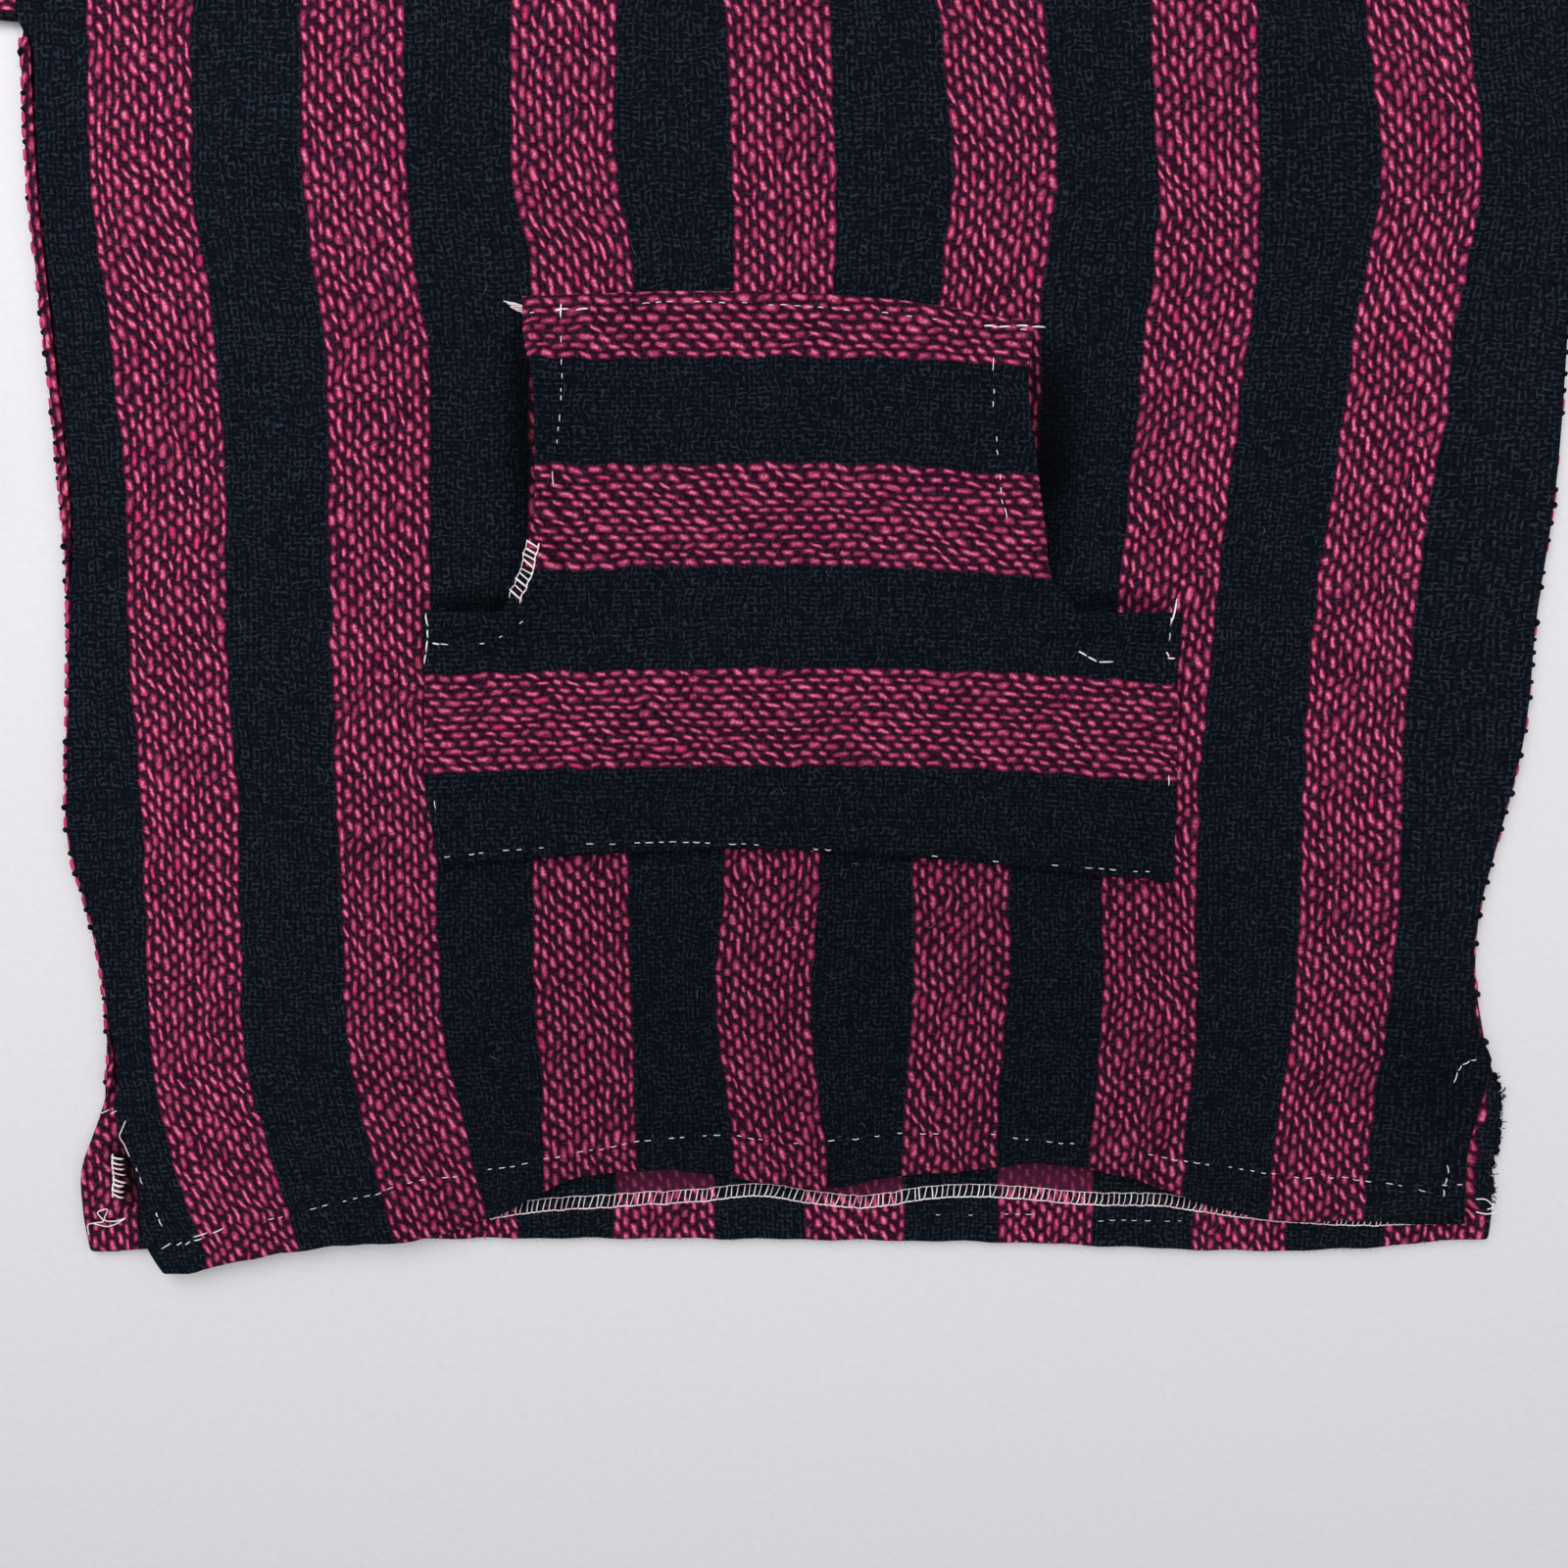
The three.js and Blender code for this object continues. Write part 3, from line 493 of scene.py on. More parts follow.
def wall_faces(rows, columns, cells=None, joined=False):
    """Quads of a closed wall between an outer and an inner grid; cells says where there is cloth."""
    index = np.arange(rows * columns).reshape(rows, columns)
    if joined:
        index = np.hstack([index, index[:, :1]])
    if cells is None:
        cells = np.ones((rows - 1, index.shape[1] - 1), dtype=bool)
    corners = [index[:-1, :-1], index[:-1, 1:], index[1:, 1:], index[1:, :-1]]
    upper = grid(*corners)[cells]
    below = rows * columns
    faces = [upper, upper[:, ::-1] + below]
    padded = np.pad(cells, 1)
    if joined:
        padded[:, 0] = padded[:, -2]
        padded[:, -1] = padded[:, 1]
    beside = [padded[:-2, 1:-1], padded[1:-1, 2:], padded[2:, 1:-1], padded[1:-1, :-2]]
    for k in range(4):
        lone = cells & ~beside[k]
        first = corners[k][lone]
        second = corners[(k + 1) % 4][lone]
        faces.append(grid(second, first, first + below, second + below))
    return np.vstack(faces)


def signed_volume(points, faces):
    a, b, c, d = (points[faces[:, k]] for k in range(4))
    return float(np.sum(np.cross(b, c) * a) + np.sum(np.cross(c, d) * a))


def add_piece(name, points, faces, material):
    """A smooth mesh in the frame's metres, which rides on the garment's one body."""
    mesh = bpy.data.meshes.new(name)
    frame_points = (points + np.array([0.0, FRAME_SHIFT_Y, 0.0])) * MM
    mesh.from_pydata(frame_points.tolist(), [], faces)
    mesh.polygons.foreach_set("use_smooth", np.ones(len(mesh.polygons), dtype=bool))
    mesh.materials.append(material)
    piece = bpy.data.objects.new(name, mesh)
    bpy.context.scene.collection.objects.link(piece)
    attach(piece, "root")
    return piece


def add_cloth(node, outer, inner, places, material, cells=None, joined=False, marks=None,
              slot="striped_cotton"):
    """The closed wall of cloth that stands for a node. places are coordinates on the cloth."""
    points = np.vstack([outer.reshape(-1, 3), inner.reshape(-1, 3)])
    faces = wall_faces(*outer.shape[:2], cells, joined)
    if signed_volume(points, faces) < 0:
        faces = faces[:, ::-1]
    used, faces_used = np.unique(faces, return_inverse=True)
    faces = faces_used.reshape(faces.shape).tolist()
    piece = add_piece(node + "_cloth", points[used], faces, material)
    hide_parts(node)
    mesh = piece.data
    corners = np.empty(len(mesh.loops), dtype=np.int32)
    mesh.loops.foreach_get("vertex_index", corners)
    cloth = np.tile(places.reshape(-1, 2), (2, 1))[used]
    layer = mesh.uv_layers.new(name="cloth")
    layer.data.foreach_set("uv", (cloth[corners] * MM).astype(np.float32).ravel())
    for mark, values in (marks or {}).items():
        layer = mesh.attributes.new(mark, "FLOAT", "POINT")
        layer.data.foreach_set("value", np.tile(values.ravel(), 2)[used].astype(np.float32))
    return piece


def round_share(tip, half, least):
    """Share of its thickness that a wall keeps at a distance from its half-round free edge."""
    return np.maximum(np.sqrt(1 - (1 - np.clip(tip / half, 0, 1)) ** 2), least)


def close_edges(outer, inner, tip):
    """Both faces, drawn together near their free edges."""
    part = round_share(tip, THIN_HALF, 0.15)[..., None]
    middle = (outer + inner) / 2
    return middle + (outer - middle) * part, middle + (inner - middle) * part


# Procedural materials

WHITE = (1, 1, 1, 1)
DRY = 0.95
SPECULAR = 0.04
SHEEN_ROUGHNESS = 0.5
CLOTH_SHEEN = 0.006
CLOTH_SHEEN_TINT = (0.9, 0.85, 0.9, 1)
# Bump depths in metres
WEAVE_DEPTH = 0.0008
YARN_DEPTH = 0.0002
THREAD_DEPTH = 0.00012


def math_method(operation):
    """A method that adds a Math node, fed with the value itself first."""
    return lambda value, *others: value.shader.math(operation, value, *others)


class Value:
    """A node's output. Arithmetic with it adds Math nodes; scaled() is times and plus in one."""

    def __init__(self, shader, socket):
        self.shader = shader
        self.socket = socket

    __add__ = math_method("ADD")
    __sub__ = math_method("SUBTRACT")
    __mul__ = math_method("MULTIPLY")
    __truediv__ = math_method("DIVIDE")
    __mod__ = math_method("FLOORED_MODULO")
    __pow__ = math_method("POWER")
    __abs__ = math_method("ABSOLUTE")
    floor = math_method("FLOOR")
    round = math_method("ROUND")
    scaled = math_method("MULTIPLY_ADD")


class Shader:
    """A material's node tree, with short calls for the nodes that this scene uses."""

    def __init__(self, name):
        self.material = bpy.data.materials.new(name)
        self.material.use_nodes = True
        self.tree = self.material.node_tree
        self.tree.nodes.clear()

    def feed(self, socket, value):
        if isinstance(value, Value):
            self.tree.links.new(value.socket, socket)
        else:
            socket.default_value = value

    def node(self, kind, inputs, output=0, **settings):
        """The named output of a new node with these inputs and settings."""
        made = self.tree.nodes.new(kind)
        for key, value in settings.items():
            setattr(made, key, value)
        for key, value in inputs.items():
            self.feed(made.inputs[key], value)
        return Value(self, made.outputs[output])

    def math(self, operation, *values):
        return self.node("ShaderNodeMath", dict(enumerate(values)), operation=operation)

    def split(self, vector):
        return [self.node("ShaderNodeSeparateXYZ", {0: vector}, axis) for axis in ("X", "Y")]

    def combine(self, x, y, z):
        return self.node("ShaderNodeCombineXYZ", {"X": x, "Y": y, "Z": z})

    def position(self):
        return self.node("ShaderNodeNewGeometry", {}, "Position")

    def mark(self, name):
        """A number that the mesh holds at each of its points."""
        return self.node("ShaderNodeAttribute", {}, "Fac", attribute_name=name)

    def noise(self, vector, scale, detail=2.0, roughness=0.5):
        inputs = {"Vector": vector, "Scale": scale, "Detail": detail, "Roughness": roughness}
        return self.node("ShaderNodeTexNoise", inputs, "Fac", noise_dimensions="3D")

    def random(self, x, y, seed):
        inputs = {"Vector": self.combine(x, y, seed)}
        return self.node("ShaderNodeTexWhiteNoise", inputs, "Value", noise_dimensions="3D")

    def blend(self, amount, first, second):
        return self.node("ShaderNodeMix", {"Factor": amount, 6: first, 7: second}, 2, data_type="RGBA")

    def ramp(self, value, low, high, start=0.0, end=1.0):
        inputs = dict(enumerate((value, low, high, start, end)))
        return self.node("ShaderNodeMapRange", inputs, interpolation_type="SMOOTHSTEP")

    def finish(self, colour, height, depth, roughness=DRY, sheen=0.0, sheen_tint=WHITE):
        bump = self.node("ShaderNodeBump", {"Strength": 1.0, "Distance": depth, "Height": height})
        surface = self.node("ShaderNodeBsdfPrincipled", {
            "Base Color": colour, "Roughness": roughness, "Specular IOR Level": SPECULAR,
            "Sheen Weight": sheen, "Sheen Roughness": SHEEN_ROUGHNESS, "Sheen Tint": sheen_tint,
            "Normal": bump,
        })
        output = self.tree.nodes.new("ShaderNodeOutputMaterial")
        self.feed(output.inputs["Surface"], surface)
        return self.material


def linear(red, green, blue):
    """Linear colour of a screen colour given from 0 to 255."""
    values = [c / 255 for c in (red, green, blue)]
    values = [v / 12.92 if v <= 0.04045 else ((v + 0.055) / 1.055) ** 2.4 for v in values]
    return (*values, 1.0)


# Painted highlight on the pink floats' crowns
PINK_HIGHLIGHT = linear(236, 127, 163)
PINK_MIDDLE = linear(201, 67, 110)
PINK_DULL = linear(148, 54, 92)
PINK_SIDE = linear(120, 30, 64)
PINK_HAZE = linear(64, 14, 42)
# The reverse face's duller colour, darkened further as painted shade under the front's lifted hem
PINK_REVERSE_SHADED = linear(74, 26, 52)
PINK_NEP = linear(212, 46, 104)
GAP_DARK = linear(18, 7, 20)
# The black weft seen in the pink's gaps, in painted highlight
WEFT_GREY_HIGHLIGHT = linear(58, 48, 70)
BLACK_GAP = linear(3, 6, 14)
BLACK_YARN = linear(10, 16, 26)
# Painted highlight on the crowns of the black yarns' strokes
BLACK_CROWN_HIGHLIGHT = linear(46, 53, 64)
SHADOW = linear(2, 3, 6)

# Numbers that keep the weave's random values apart
SHAPE_SEED, TONE_SEED, LENGTH_SEED, SHIFT_SEED = 0.0, 7.0, 5.0, 3.0
WEFT_SEED, NEP_SEED = 11.0, 31.0
FINE_SEEDS = (21.0, 23.0)
# How the yarns wander: scale of the noise and how far, in yarns
WARP_WANDER = (75.0, 1.3)
WEFT_WANDER = (80.0, 2.4)
# Noises: scale, detail, roughness
PATCHES = (24.0, 2.0, 0.5)
NAP = (3.1, 4.0, 0.72)
FIBRES = (1.6, 3.0, 0.6)
# Half width and length of the floats, in yarns: spread and least, or one size
WARP_WIDTH, WARP_LENGTH = (0.13, 0.185), (0.26, 0.48)
WEFT_WIDTH, WEFT_LENGTH = 0.28, 0.66
FINE_WIDTH, FINE_LENGTH = 0.23, 0.84
WIDTH_POWER, LENGTH_POWER = 2.4, 3.6
# A float whose random value is over this level is a bright nep
NEP_LEVEL = 0.985
# How much of its duller colour, with painted shade under the front's lifted hem, the reverse face
# takes
REVERSE_SHADE_SHARE = 0.78


def yarn_of(place):
    """Which yarn a place lies on, and how far it is from the yarn's middle."""
    yarn = place.floor()
    return yarn, place - yarn - 0.5


def float_of(halves):
    """Which float of its yarn a place lies on, and how far along the float it is."""
    turn = halves.round()
    return turn, (halves - turn) * 2.0


def stroke(across, along, width, length):
    """0 in the middle of a float and 1 at its rim."""
    return abs(across / width) ** WIDTH_POWER + abs(along / length) ** LENGTH_POWER


class Weave:
    """Plain weave of thick uneven yarns, twelve pink and twelve black, by the cloth's own places."""

    def __init__(self, name):
        self.shader = s = Shader(name)
        places = s.node("ShaderNodeUVMap", {}, uv_map="cloth")
        x, y = s.split(places)
        self.u = self.wander(places, *WARP_WANDER, x / (PITCH * MM))
        self.v = self.wander(s.combine(y, x, 0.37), *WEFT_WANDER, y / (WEFT_PITCH * MM))
        self.patch = s.noise(places, *PATCHES)
        self.nap = s.noise(s.combine(self.u, self.v, 0.0), *NAP)
        self.warp_floats()
        self.weft_floats()
        self.fine_strokes()

    def wander(self, places, scale, reach, count):
        """A count of yarns that drifts to and fro."""
        return (self.shader.noise(places, scale) - 0.5).scaled(reach, count)

    def warp_floats(self):
        """Floats of the warp yarns, on a checkerboard, with the twist of their fibres."""
        s = self.shader
        self.warp, across = yarn_of(self.u)
        shift = s.random(self.warp, 0.0, SHIFT_SEED) * 0.16
        self.turn, along = float_of((self.warp % 2.0).scaled(0.5, self.v * 0.5) + shift)
        chance, self.tone_chance, length_chance = [
            s.random(self.warp, self.turn, seed) for seed in (SHAPE_SEED, TONE_SEED, LENGTH_SEED)]
        lean = self.tone_chance.scaled(-0.34, self.patch.scaled(-1.0, 0.54))
        bent = across - lean * along + length_chance.scaled(0.16, -0.08)
        width = chance.scaled(*WARP_WIDTH)
        clean = stroke(bent, along, width, length_chance.scaled(*WARP_LENGTH))
        self.over = clean + self.nap.scaled(3.6, -1.8)
        self.warp_height = s.ramp(self.over, 1.15, 0.0) * chance.scaled(0.30, 0.75)
        twist = s.combine(along.scaled(0.9, self.u * 3.6), self.v * 0.9, chance)
        self.fibre = s.noise(twist, *FIBRES)

    def weft_floats(self):
        s = self.shader
        weft, across = yarn_of(self.v)
        turn, along = float_of((self.u - 0.5 - (weft + 1.0) % 2.0) * 0.5)
        dome = s.ramp(stroke(across, along, WEFT_WIDTH, WEFT_LENGTH), 1.2, 0.0)
        self.weft_height = dome * s.random(weft, turn, WEFT_SEED).scaled(0.25, 0.50)

    def fine_strokes(self):
        """Black yarns are finer: faint strokes, some along the warp and some along the weft, whose
        crowns take a painted highlight.
        """
        s = self.shader
        fine = (self.u * FINE_YARNS, self.v * FINE_YARNS)
        lines = []
        for first, second, seed in zip(fine, fine[::-1], FINE_SEEDS):
            yarn, across = yarn_of(first)
            turn, along = float_of(second.scaled(0.5, s.random(yarn, 0.0, seed)))
            line = s.ramp(stroke(across, along, FINE_WIDTH, FINE_LENGTH), 1.4, 0.0)
            lines.append(line * s.random(yarn, turn, seed + 1.0).scaled(0.8, 0.2))
        self.strokes = s.math("MAXIMUM", *lines)
        # Painted highlight on the strokes' crowns, patchy with the nap
        self.crown_highlight = s.ramp(self.strokes, 0.05, 0.95) * s.ramp(self.nap, 0.30, 0.66)

    def pink_cloth(self):
        """A painted highlight on each float's crown, duller sides, and a haze of pink fibres over the
        gaps.
        """
        s = self.shader
        tone = self.tone_chance.scaled(0.45, self.patch.scaled(0.7, -0.30))
        tone = tone + self.fibre.scaled(1.1, -0.42)
        # Painted highlight on each float's crown, stronger on some floats than others
        float_highlight = s.ramp(self.over, 0.80, 0.0) * s.ramp(tone, 0.0, 0.75)
        yarn = s.blend(s.ramp(tone, -0.05, 0.42), PINK_DULL, PINK_MIDDLE)
        yarn = s.blend(float_highlight, yarn, PINK_HIGHLIGHT)
        nep = s.math("GREATER_THAN", s.random(self.warp, self.turn, NEP_SEED), NEP_LEVEL)
        yarn = s.blend(nep * 0.8, yarn, PINK_NEP)
        yarn = s.blend(s.ramp(self.over, 1.55, 0.25), PINK_SIDE, yarn)
        haze = s.blend(s.ramp(self.nap, 0.38, 0.62), GAP_DARK, PINK_HAZE)
        # Where the black weft's strokes cross the gaps they take the painted highlight
        haze = s.blend(self.crown_highlight * 0.8, haze, WEFT_GREY_HIGHLIGHT)
        return s.blend(s.ramp(self.over, 3.30, 0.90), haze, yarn)

    def black_cloth(self):
        s = self.shader
        cloth = s.blend(s.ramp(self.fibre, 0.30, 0.72), BLACK_GAP, BLACK_YARN)
        # The strokes' crowns take a painted highlight
        return s.blend(self.crown_highlight, cloth, BLACK_CROWN_HIGHLIGHT)

    def height(self, pink):
        pink_height = self.shader.math("MAXIMUM", self.warp_height, self.weft_height)
        pink_height = pink_height + self.fibre * 0.35 + self.nap * 0.45
        black_height = self.strokes * 0.6 + self.nap * 0.6
        return (pink_height - black_height).scaled(pink, black_height)

    def material(self):
        """The reverse face is duller, with painted shade under the front's lifted hem; beside a lifted
        edge the cloth lies in painted shade.
        """
        s = self.shader
        repeat = self.warp % float(YARNS_PER_REPEAT)
        pink = s.math("LESS_THAN", repeat, YARNS_PER_REPEAT / 2 - 0.5)
        # The reverse face's duller colour, with painted shade under the front's lifted hem
        pink_cloth = s.blend(s.mark("reverse_shade") * REVERSE_SHADE_SHARE, self.pink_cloth(), PINK_REVERSE_SHADED)
        colour = s.blend(pink, self.black_cloth(), pink_cloth)
        colour = s.blend(s.mark("shade"), colour, SHADOW)
        return s.finish(colour, self.height(pink), WEAVE_DEPTH, DRY, CLOTH_SHEEN, CLOTH_SHEEN_TINT)


def yarn_material(name, light, dark):
    s = Shader(name)
    place = s.position()
    twist = s.noise(place, 1400.0)
    colour = s.blend(s.ramp(s.noise(place, 160.0), 0.35, 0.65), dark, light)
    return s.finish(colour, twist, YARN_DEPTH)


def thread_material():
    s = Shader("sewing_thread")
    place = s.position()
    twist = s.noise(place, 2600.0)
    patch = s.ramp(s.noise(place, 120.0), 0.4, 0.65)
    colour = s.blend(patch, linear(250, 246, 244), linear(236, 206, 214))
    colour = s.blend(s.ramp(twist, 0.35, 0.65, 0.0, 0.25), colour, linear(176, 150, 158))
    return s.finish(colour, twist, THREAD_DEPTH, 0.75)


def floor_material():
    s = Shader("pale_floor")
    grain = s.noise(s.position(), 300.0, 3.0)
    colour = s.blend(grain, linear(214, 212, 216), linear(222, 220, 223))
    return s.finish(colour, grain, YARN_DEPTH)


COTTON = Weave("striped_cotton_weave").material()
POCKET_COTTON = Weave("pocket_cotton_weave").material()
THREAD = thread_material()
DARK_YARN = yarn_material("dark_yarn", linear(24, 26, 38), linear(8, 10, 17))
PINK_YARN = yarn_material("pink_yarn", PINK_MIDDLE, PINK_DULL)
LINT = yarn_material("pale_lint", linear(150, 140, 150), linear(96, 92, 104))


# Places on the body's cloth, its painted shade, and its duller reverse face in painted shade under the
# front's hem

def with_ends(edges):
    """Stripe edges, with one more far beyond each end."""
    return np.concatenate([[edges[0] - 100], edges, [edges[-1] + 100]])


def front_stripe_place(x, y):
    """Cloth coordinate of places on the front, whose stripes drift where the cloth is pulled."""
    count = STRIPE_DRIFT.shape[1] - 1
    even = MIDDLE_STRIPE_X + STRIPE_REPEAT * (np.arange(count) - (count - 1) // 2)
    edges = np.sort(np.concatenate([even - STRIPE / 2, even + STRIPE / 2]))
    result = np.empty_like(x)
    for row in range(x.shape[0]):
        drift = [np.mean(curve(STRIPE_DRIFT, y[row], k + 1)) for k in range(count)]
        result[row] = np.interp(x[row], with_ends(edges + np.repeat(drift, 2)), with_ends(edges))
    return result - MIDDLE_STRIPE_X + STRIPE / 2


def back_stripe_place(x, y):
    """Above its turned hem the back's last pink stripe ends short of the right vent's edge."""
    even = BACK_FIRST_STRIPE + STRIPE * np.arange(len(BACK_STRIPE_EDGES))
    part = 0.24 + 0.76 * smooth((y - 12) / 8) - 0.35 * smooth((y - 50) / 10)
    drift = 7.1 * part * (1 - smooth((y - 78) / 12)) * smooth((x - 280) / 14)
    return np.interp(x + drift, BACK_STRIPE_EDGES, even) - BACK_FIRST_STRIPE


def hollow_shade(x, y):
    """The middle of the front, towards its hem, faces a little away from the light."""
    middle = np.exp(-((x - 25) / 215) ** 4)
    return middle * (0.12 + 0.18 * smooth((250 - y) / 110) - 0.02 * smooth((45 - y) / 30))


def front_shade(x, y):
    """How dark the front lies, most of all beside the pocket's lifted edges."""
    spots = sum(strength * np.exp(-((x - middle) / width) ** 2) * np.exp(-((y - up) / height) ** 4)
                for middle, up, width, height, strength in FRONT_SHADES)
    return np.clip(np.maximum(spots, hollow_shade(x, y)), 0, 0.92)


def back_shade(x, y):
    """How dark the back lies under the front's lifted edge at the left vent."""
    along = np.exp(-((y - 33) / 18) ** 4)
    return 0.95 * along * smooth((x + 304 + 0.1 * (y - 33)) / 4)


def back_reverse_shade(x, y):
    """1 on the back's inner face above its turned hem, away from the vents: its duller colour, with
    painted shade under the front's lifted hem.
    """
    middle = smooth((x + 155) / 12) * smooth((228 - x) / 12)
    return middle * smooth((y - curve(BACK_RAW_EDGE, x) - 1.0) / 1.5)


# Sections across the body's edges

def seam_place(side, y):
    """How far round the side edge the seam lies: 0 at the silhouette and 1 on top."""
    low, high, more, fade_y, fade = SEAM_PLACES[side]
    upper = (high - low) * smooth((y - SEAM_TURN_Y) / SEAM_TURN)
    return low + upper + more * (1 - smooth((y - fade_y) / fade))


def seam_share(side, y):
    above_vent = smooth((y - VENT_TOP[side]) / SEAM_START)
    return above_vent * (1 - smooth((y - ARMPIT_Y + SEAM_START) / SEAM_START))


def free_side(t, half):
    """Inset, drop and unrolled inset across a side edge that lies free; t is 0 at the edge."""
    angle = FREE_ANGLE + (math.pi / 2 - FREE_ANGLE) * np.minimum(t / ROUND_PART, 1)
    flat = np.maximum(t - ROUND_PART, 0) / (1 - ROUND_PART) * (EDGE_REACH - half)
    inset = half * (1 - np.cos(angle)) + flat
    return inset, half * (1 - np.sin(angle)), half - half * (math.pi / 2 - angle) + flat


def sewn_side(t, place, way):
    """Insets, drops and unrolled inset across a side edge that rolls over from its seam."""
    gap = CLEARANCE / 2 / SEAM_RADIUS
    reach = 1 + (EDGE_REACH - SEAM_RADIUS) / 10
    a = mix(place + way * gap, way * reach, t)
    angle = math.pi / 2 * np.clip(a, -1, 1)
    flat = np.maximum(np.abs(a) - 1, 0) * 10
    radius = SEAM_RADIUS - SEAM_GROOVE * np.exp(-((a - place) / SEAM_GROOVE_WIDTH) ** 2)
    insets = [SEAM_RADIUS - r * np.cos(angle) + flat for r in (radius, INNER_RADIUS)]
    outer_drop = SEAM_RADIUS - way * radius * np.sin(angle)
    inner_drop = way * INNER_RADIUS * (1 - way * np.sin(angle))
    flat = flat if way > 0 else -np.sign(a) * flat
    unrolled = SEAM_RADIUS - SEAM_RADIUS * (math.pi / 2 - way * angle) + flat
    return insets, (outer_drop, inner_drop), unrolled


def side_profile(t, y, side, half, way):
    """Insets and drops of both faces and the unrolled inset; way is 1 on the front, -1 on the back."""
    inset, drop, unrolled = free_side(t, half)
    sewn_insets, sewn_drops, sewn_unrolled = sewn_side(t, seam_place(side, y), way)
    share = seam_share(side, y)
    insets = [mix(inset, sewn, share) for sewn in sewn_insets]
    drops = [mix(free, sewn, share) for free, sewn in zip((drop, -drop), sewn_drops)]
    return [*insets, mix(unrolled, sewn_unrolled, share)], drops


def end_profile(distance, half):
    """Inset and drop of a free edge's half-round end at a distance along the cloth from its tip."""
    angle = np.clip(FREE_ANGLE + distance / half, FREE_ANGLE, math.pi / 2)
    used = (math.pi / 2 - FREE_ANGLE) * half
    inset = half * (1 - np.cos(angle)) + np.maximum(distance - used, 0)
    return inset, half * (1 - np.sin(angle))


def joined_drop(a, b, half):
    """Drop of a face where two rounded edges meet."""
    return a + b - a * b / np.maximum(np.maximum(np.abs(a), np.abs(b)), half)


# Body panels

def panel_rows(home, hem, top_edge, hem_steps, rows_side, rows_top):
    """Rows from the hem's round end up to the top's; also the drops of the faces at both ends."""
    tip = np.linspace(0, (math.pi / 2 - FREE_ANGLE) * CLOTH, END_ROWS)
    low = np.concatenate([tip, tip[-1] + hem_steps])
    low_inset, low_drop = end_profile(low, CLOTH)
    low_y = hem(home)[None, :] + low_inset[:, None]
    armpit = np.full((1, len(home)), ARMPIT_Y)
    is_shoulder = np.abs(home)[None, :] >= NECK_HALF_WIDTH - 1e-6
    top_half = np.where(is_shoulder, SEAM_RADIUS - CLEARANCE / 2, THIN_HALF)
    top_end = top_edge(home)[None, :] - top_half
    side_t = np.linspace(0, 1, rows_side + 1)[1:, None]
    top_t = np.linspace(0, 1, rows_top + 1)[1:, None]
    angles = np.linspace(math.pi / 2, FREE_ANGLE, END_ROWS)[1:, None]
    y = np.vstack([low_y, mix(low_y[-1:], armpit, side_t), mix(armpit, top_end, top_t),
                   top_end + top_half * np.cos(angles)])
    hem_drop, top_outer, top_inner = np.zeros((3, *y.shape))
    hem_drop[:len(low)] = low_drop[:, None]
    drop = 1 - np.sin(angles)
    top_outer[1 - END_ROWS:] = top_half * drop
    top_inner[1 - END_ROWS:] = np.where(is_shoulder, (INNER_RADIUS + 0.1) * drop, -THIN_HALF * drop)
    return y, hem_drop, top_outer, top_inner


def panel_sides(table, y, share, steps, side_of, way):
    """The x of both faces and of the unrolled cloth, both faces' drops, and the half thickness."""
    edges = {side: side_edge(table, side, y) for side in (-1, 1)}
    t = (share[None, :] * (1 - FLAT_INSET / (HALF_WIDTH - EDGE_REACH)) + 1) / 2
    flat_x = mix(edges[-1] + EDGE_REACH, edges[1] - EDGE_REACH, t)
    places = [flat_x.copy() for _ in range(3)]
    drops = np.zeros((2, *y.shape))
    half = THIN_HALF * np.ones_like(y)
    for side, edge in edges.items():
        here = side_of == side
        half[:, here] = THIN_HALF * (1 + vent_share(side, y[:, here]))
        insets, side_drops = side_profile(steps[here][None, :], y[:, here], side, half[:, here], way)
        for x, inset in zip(places, insets):
            x[:, here] = edge[:, here] - side * inset
        drops[:, :, here] = side_drops
    return places, drops, half


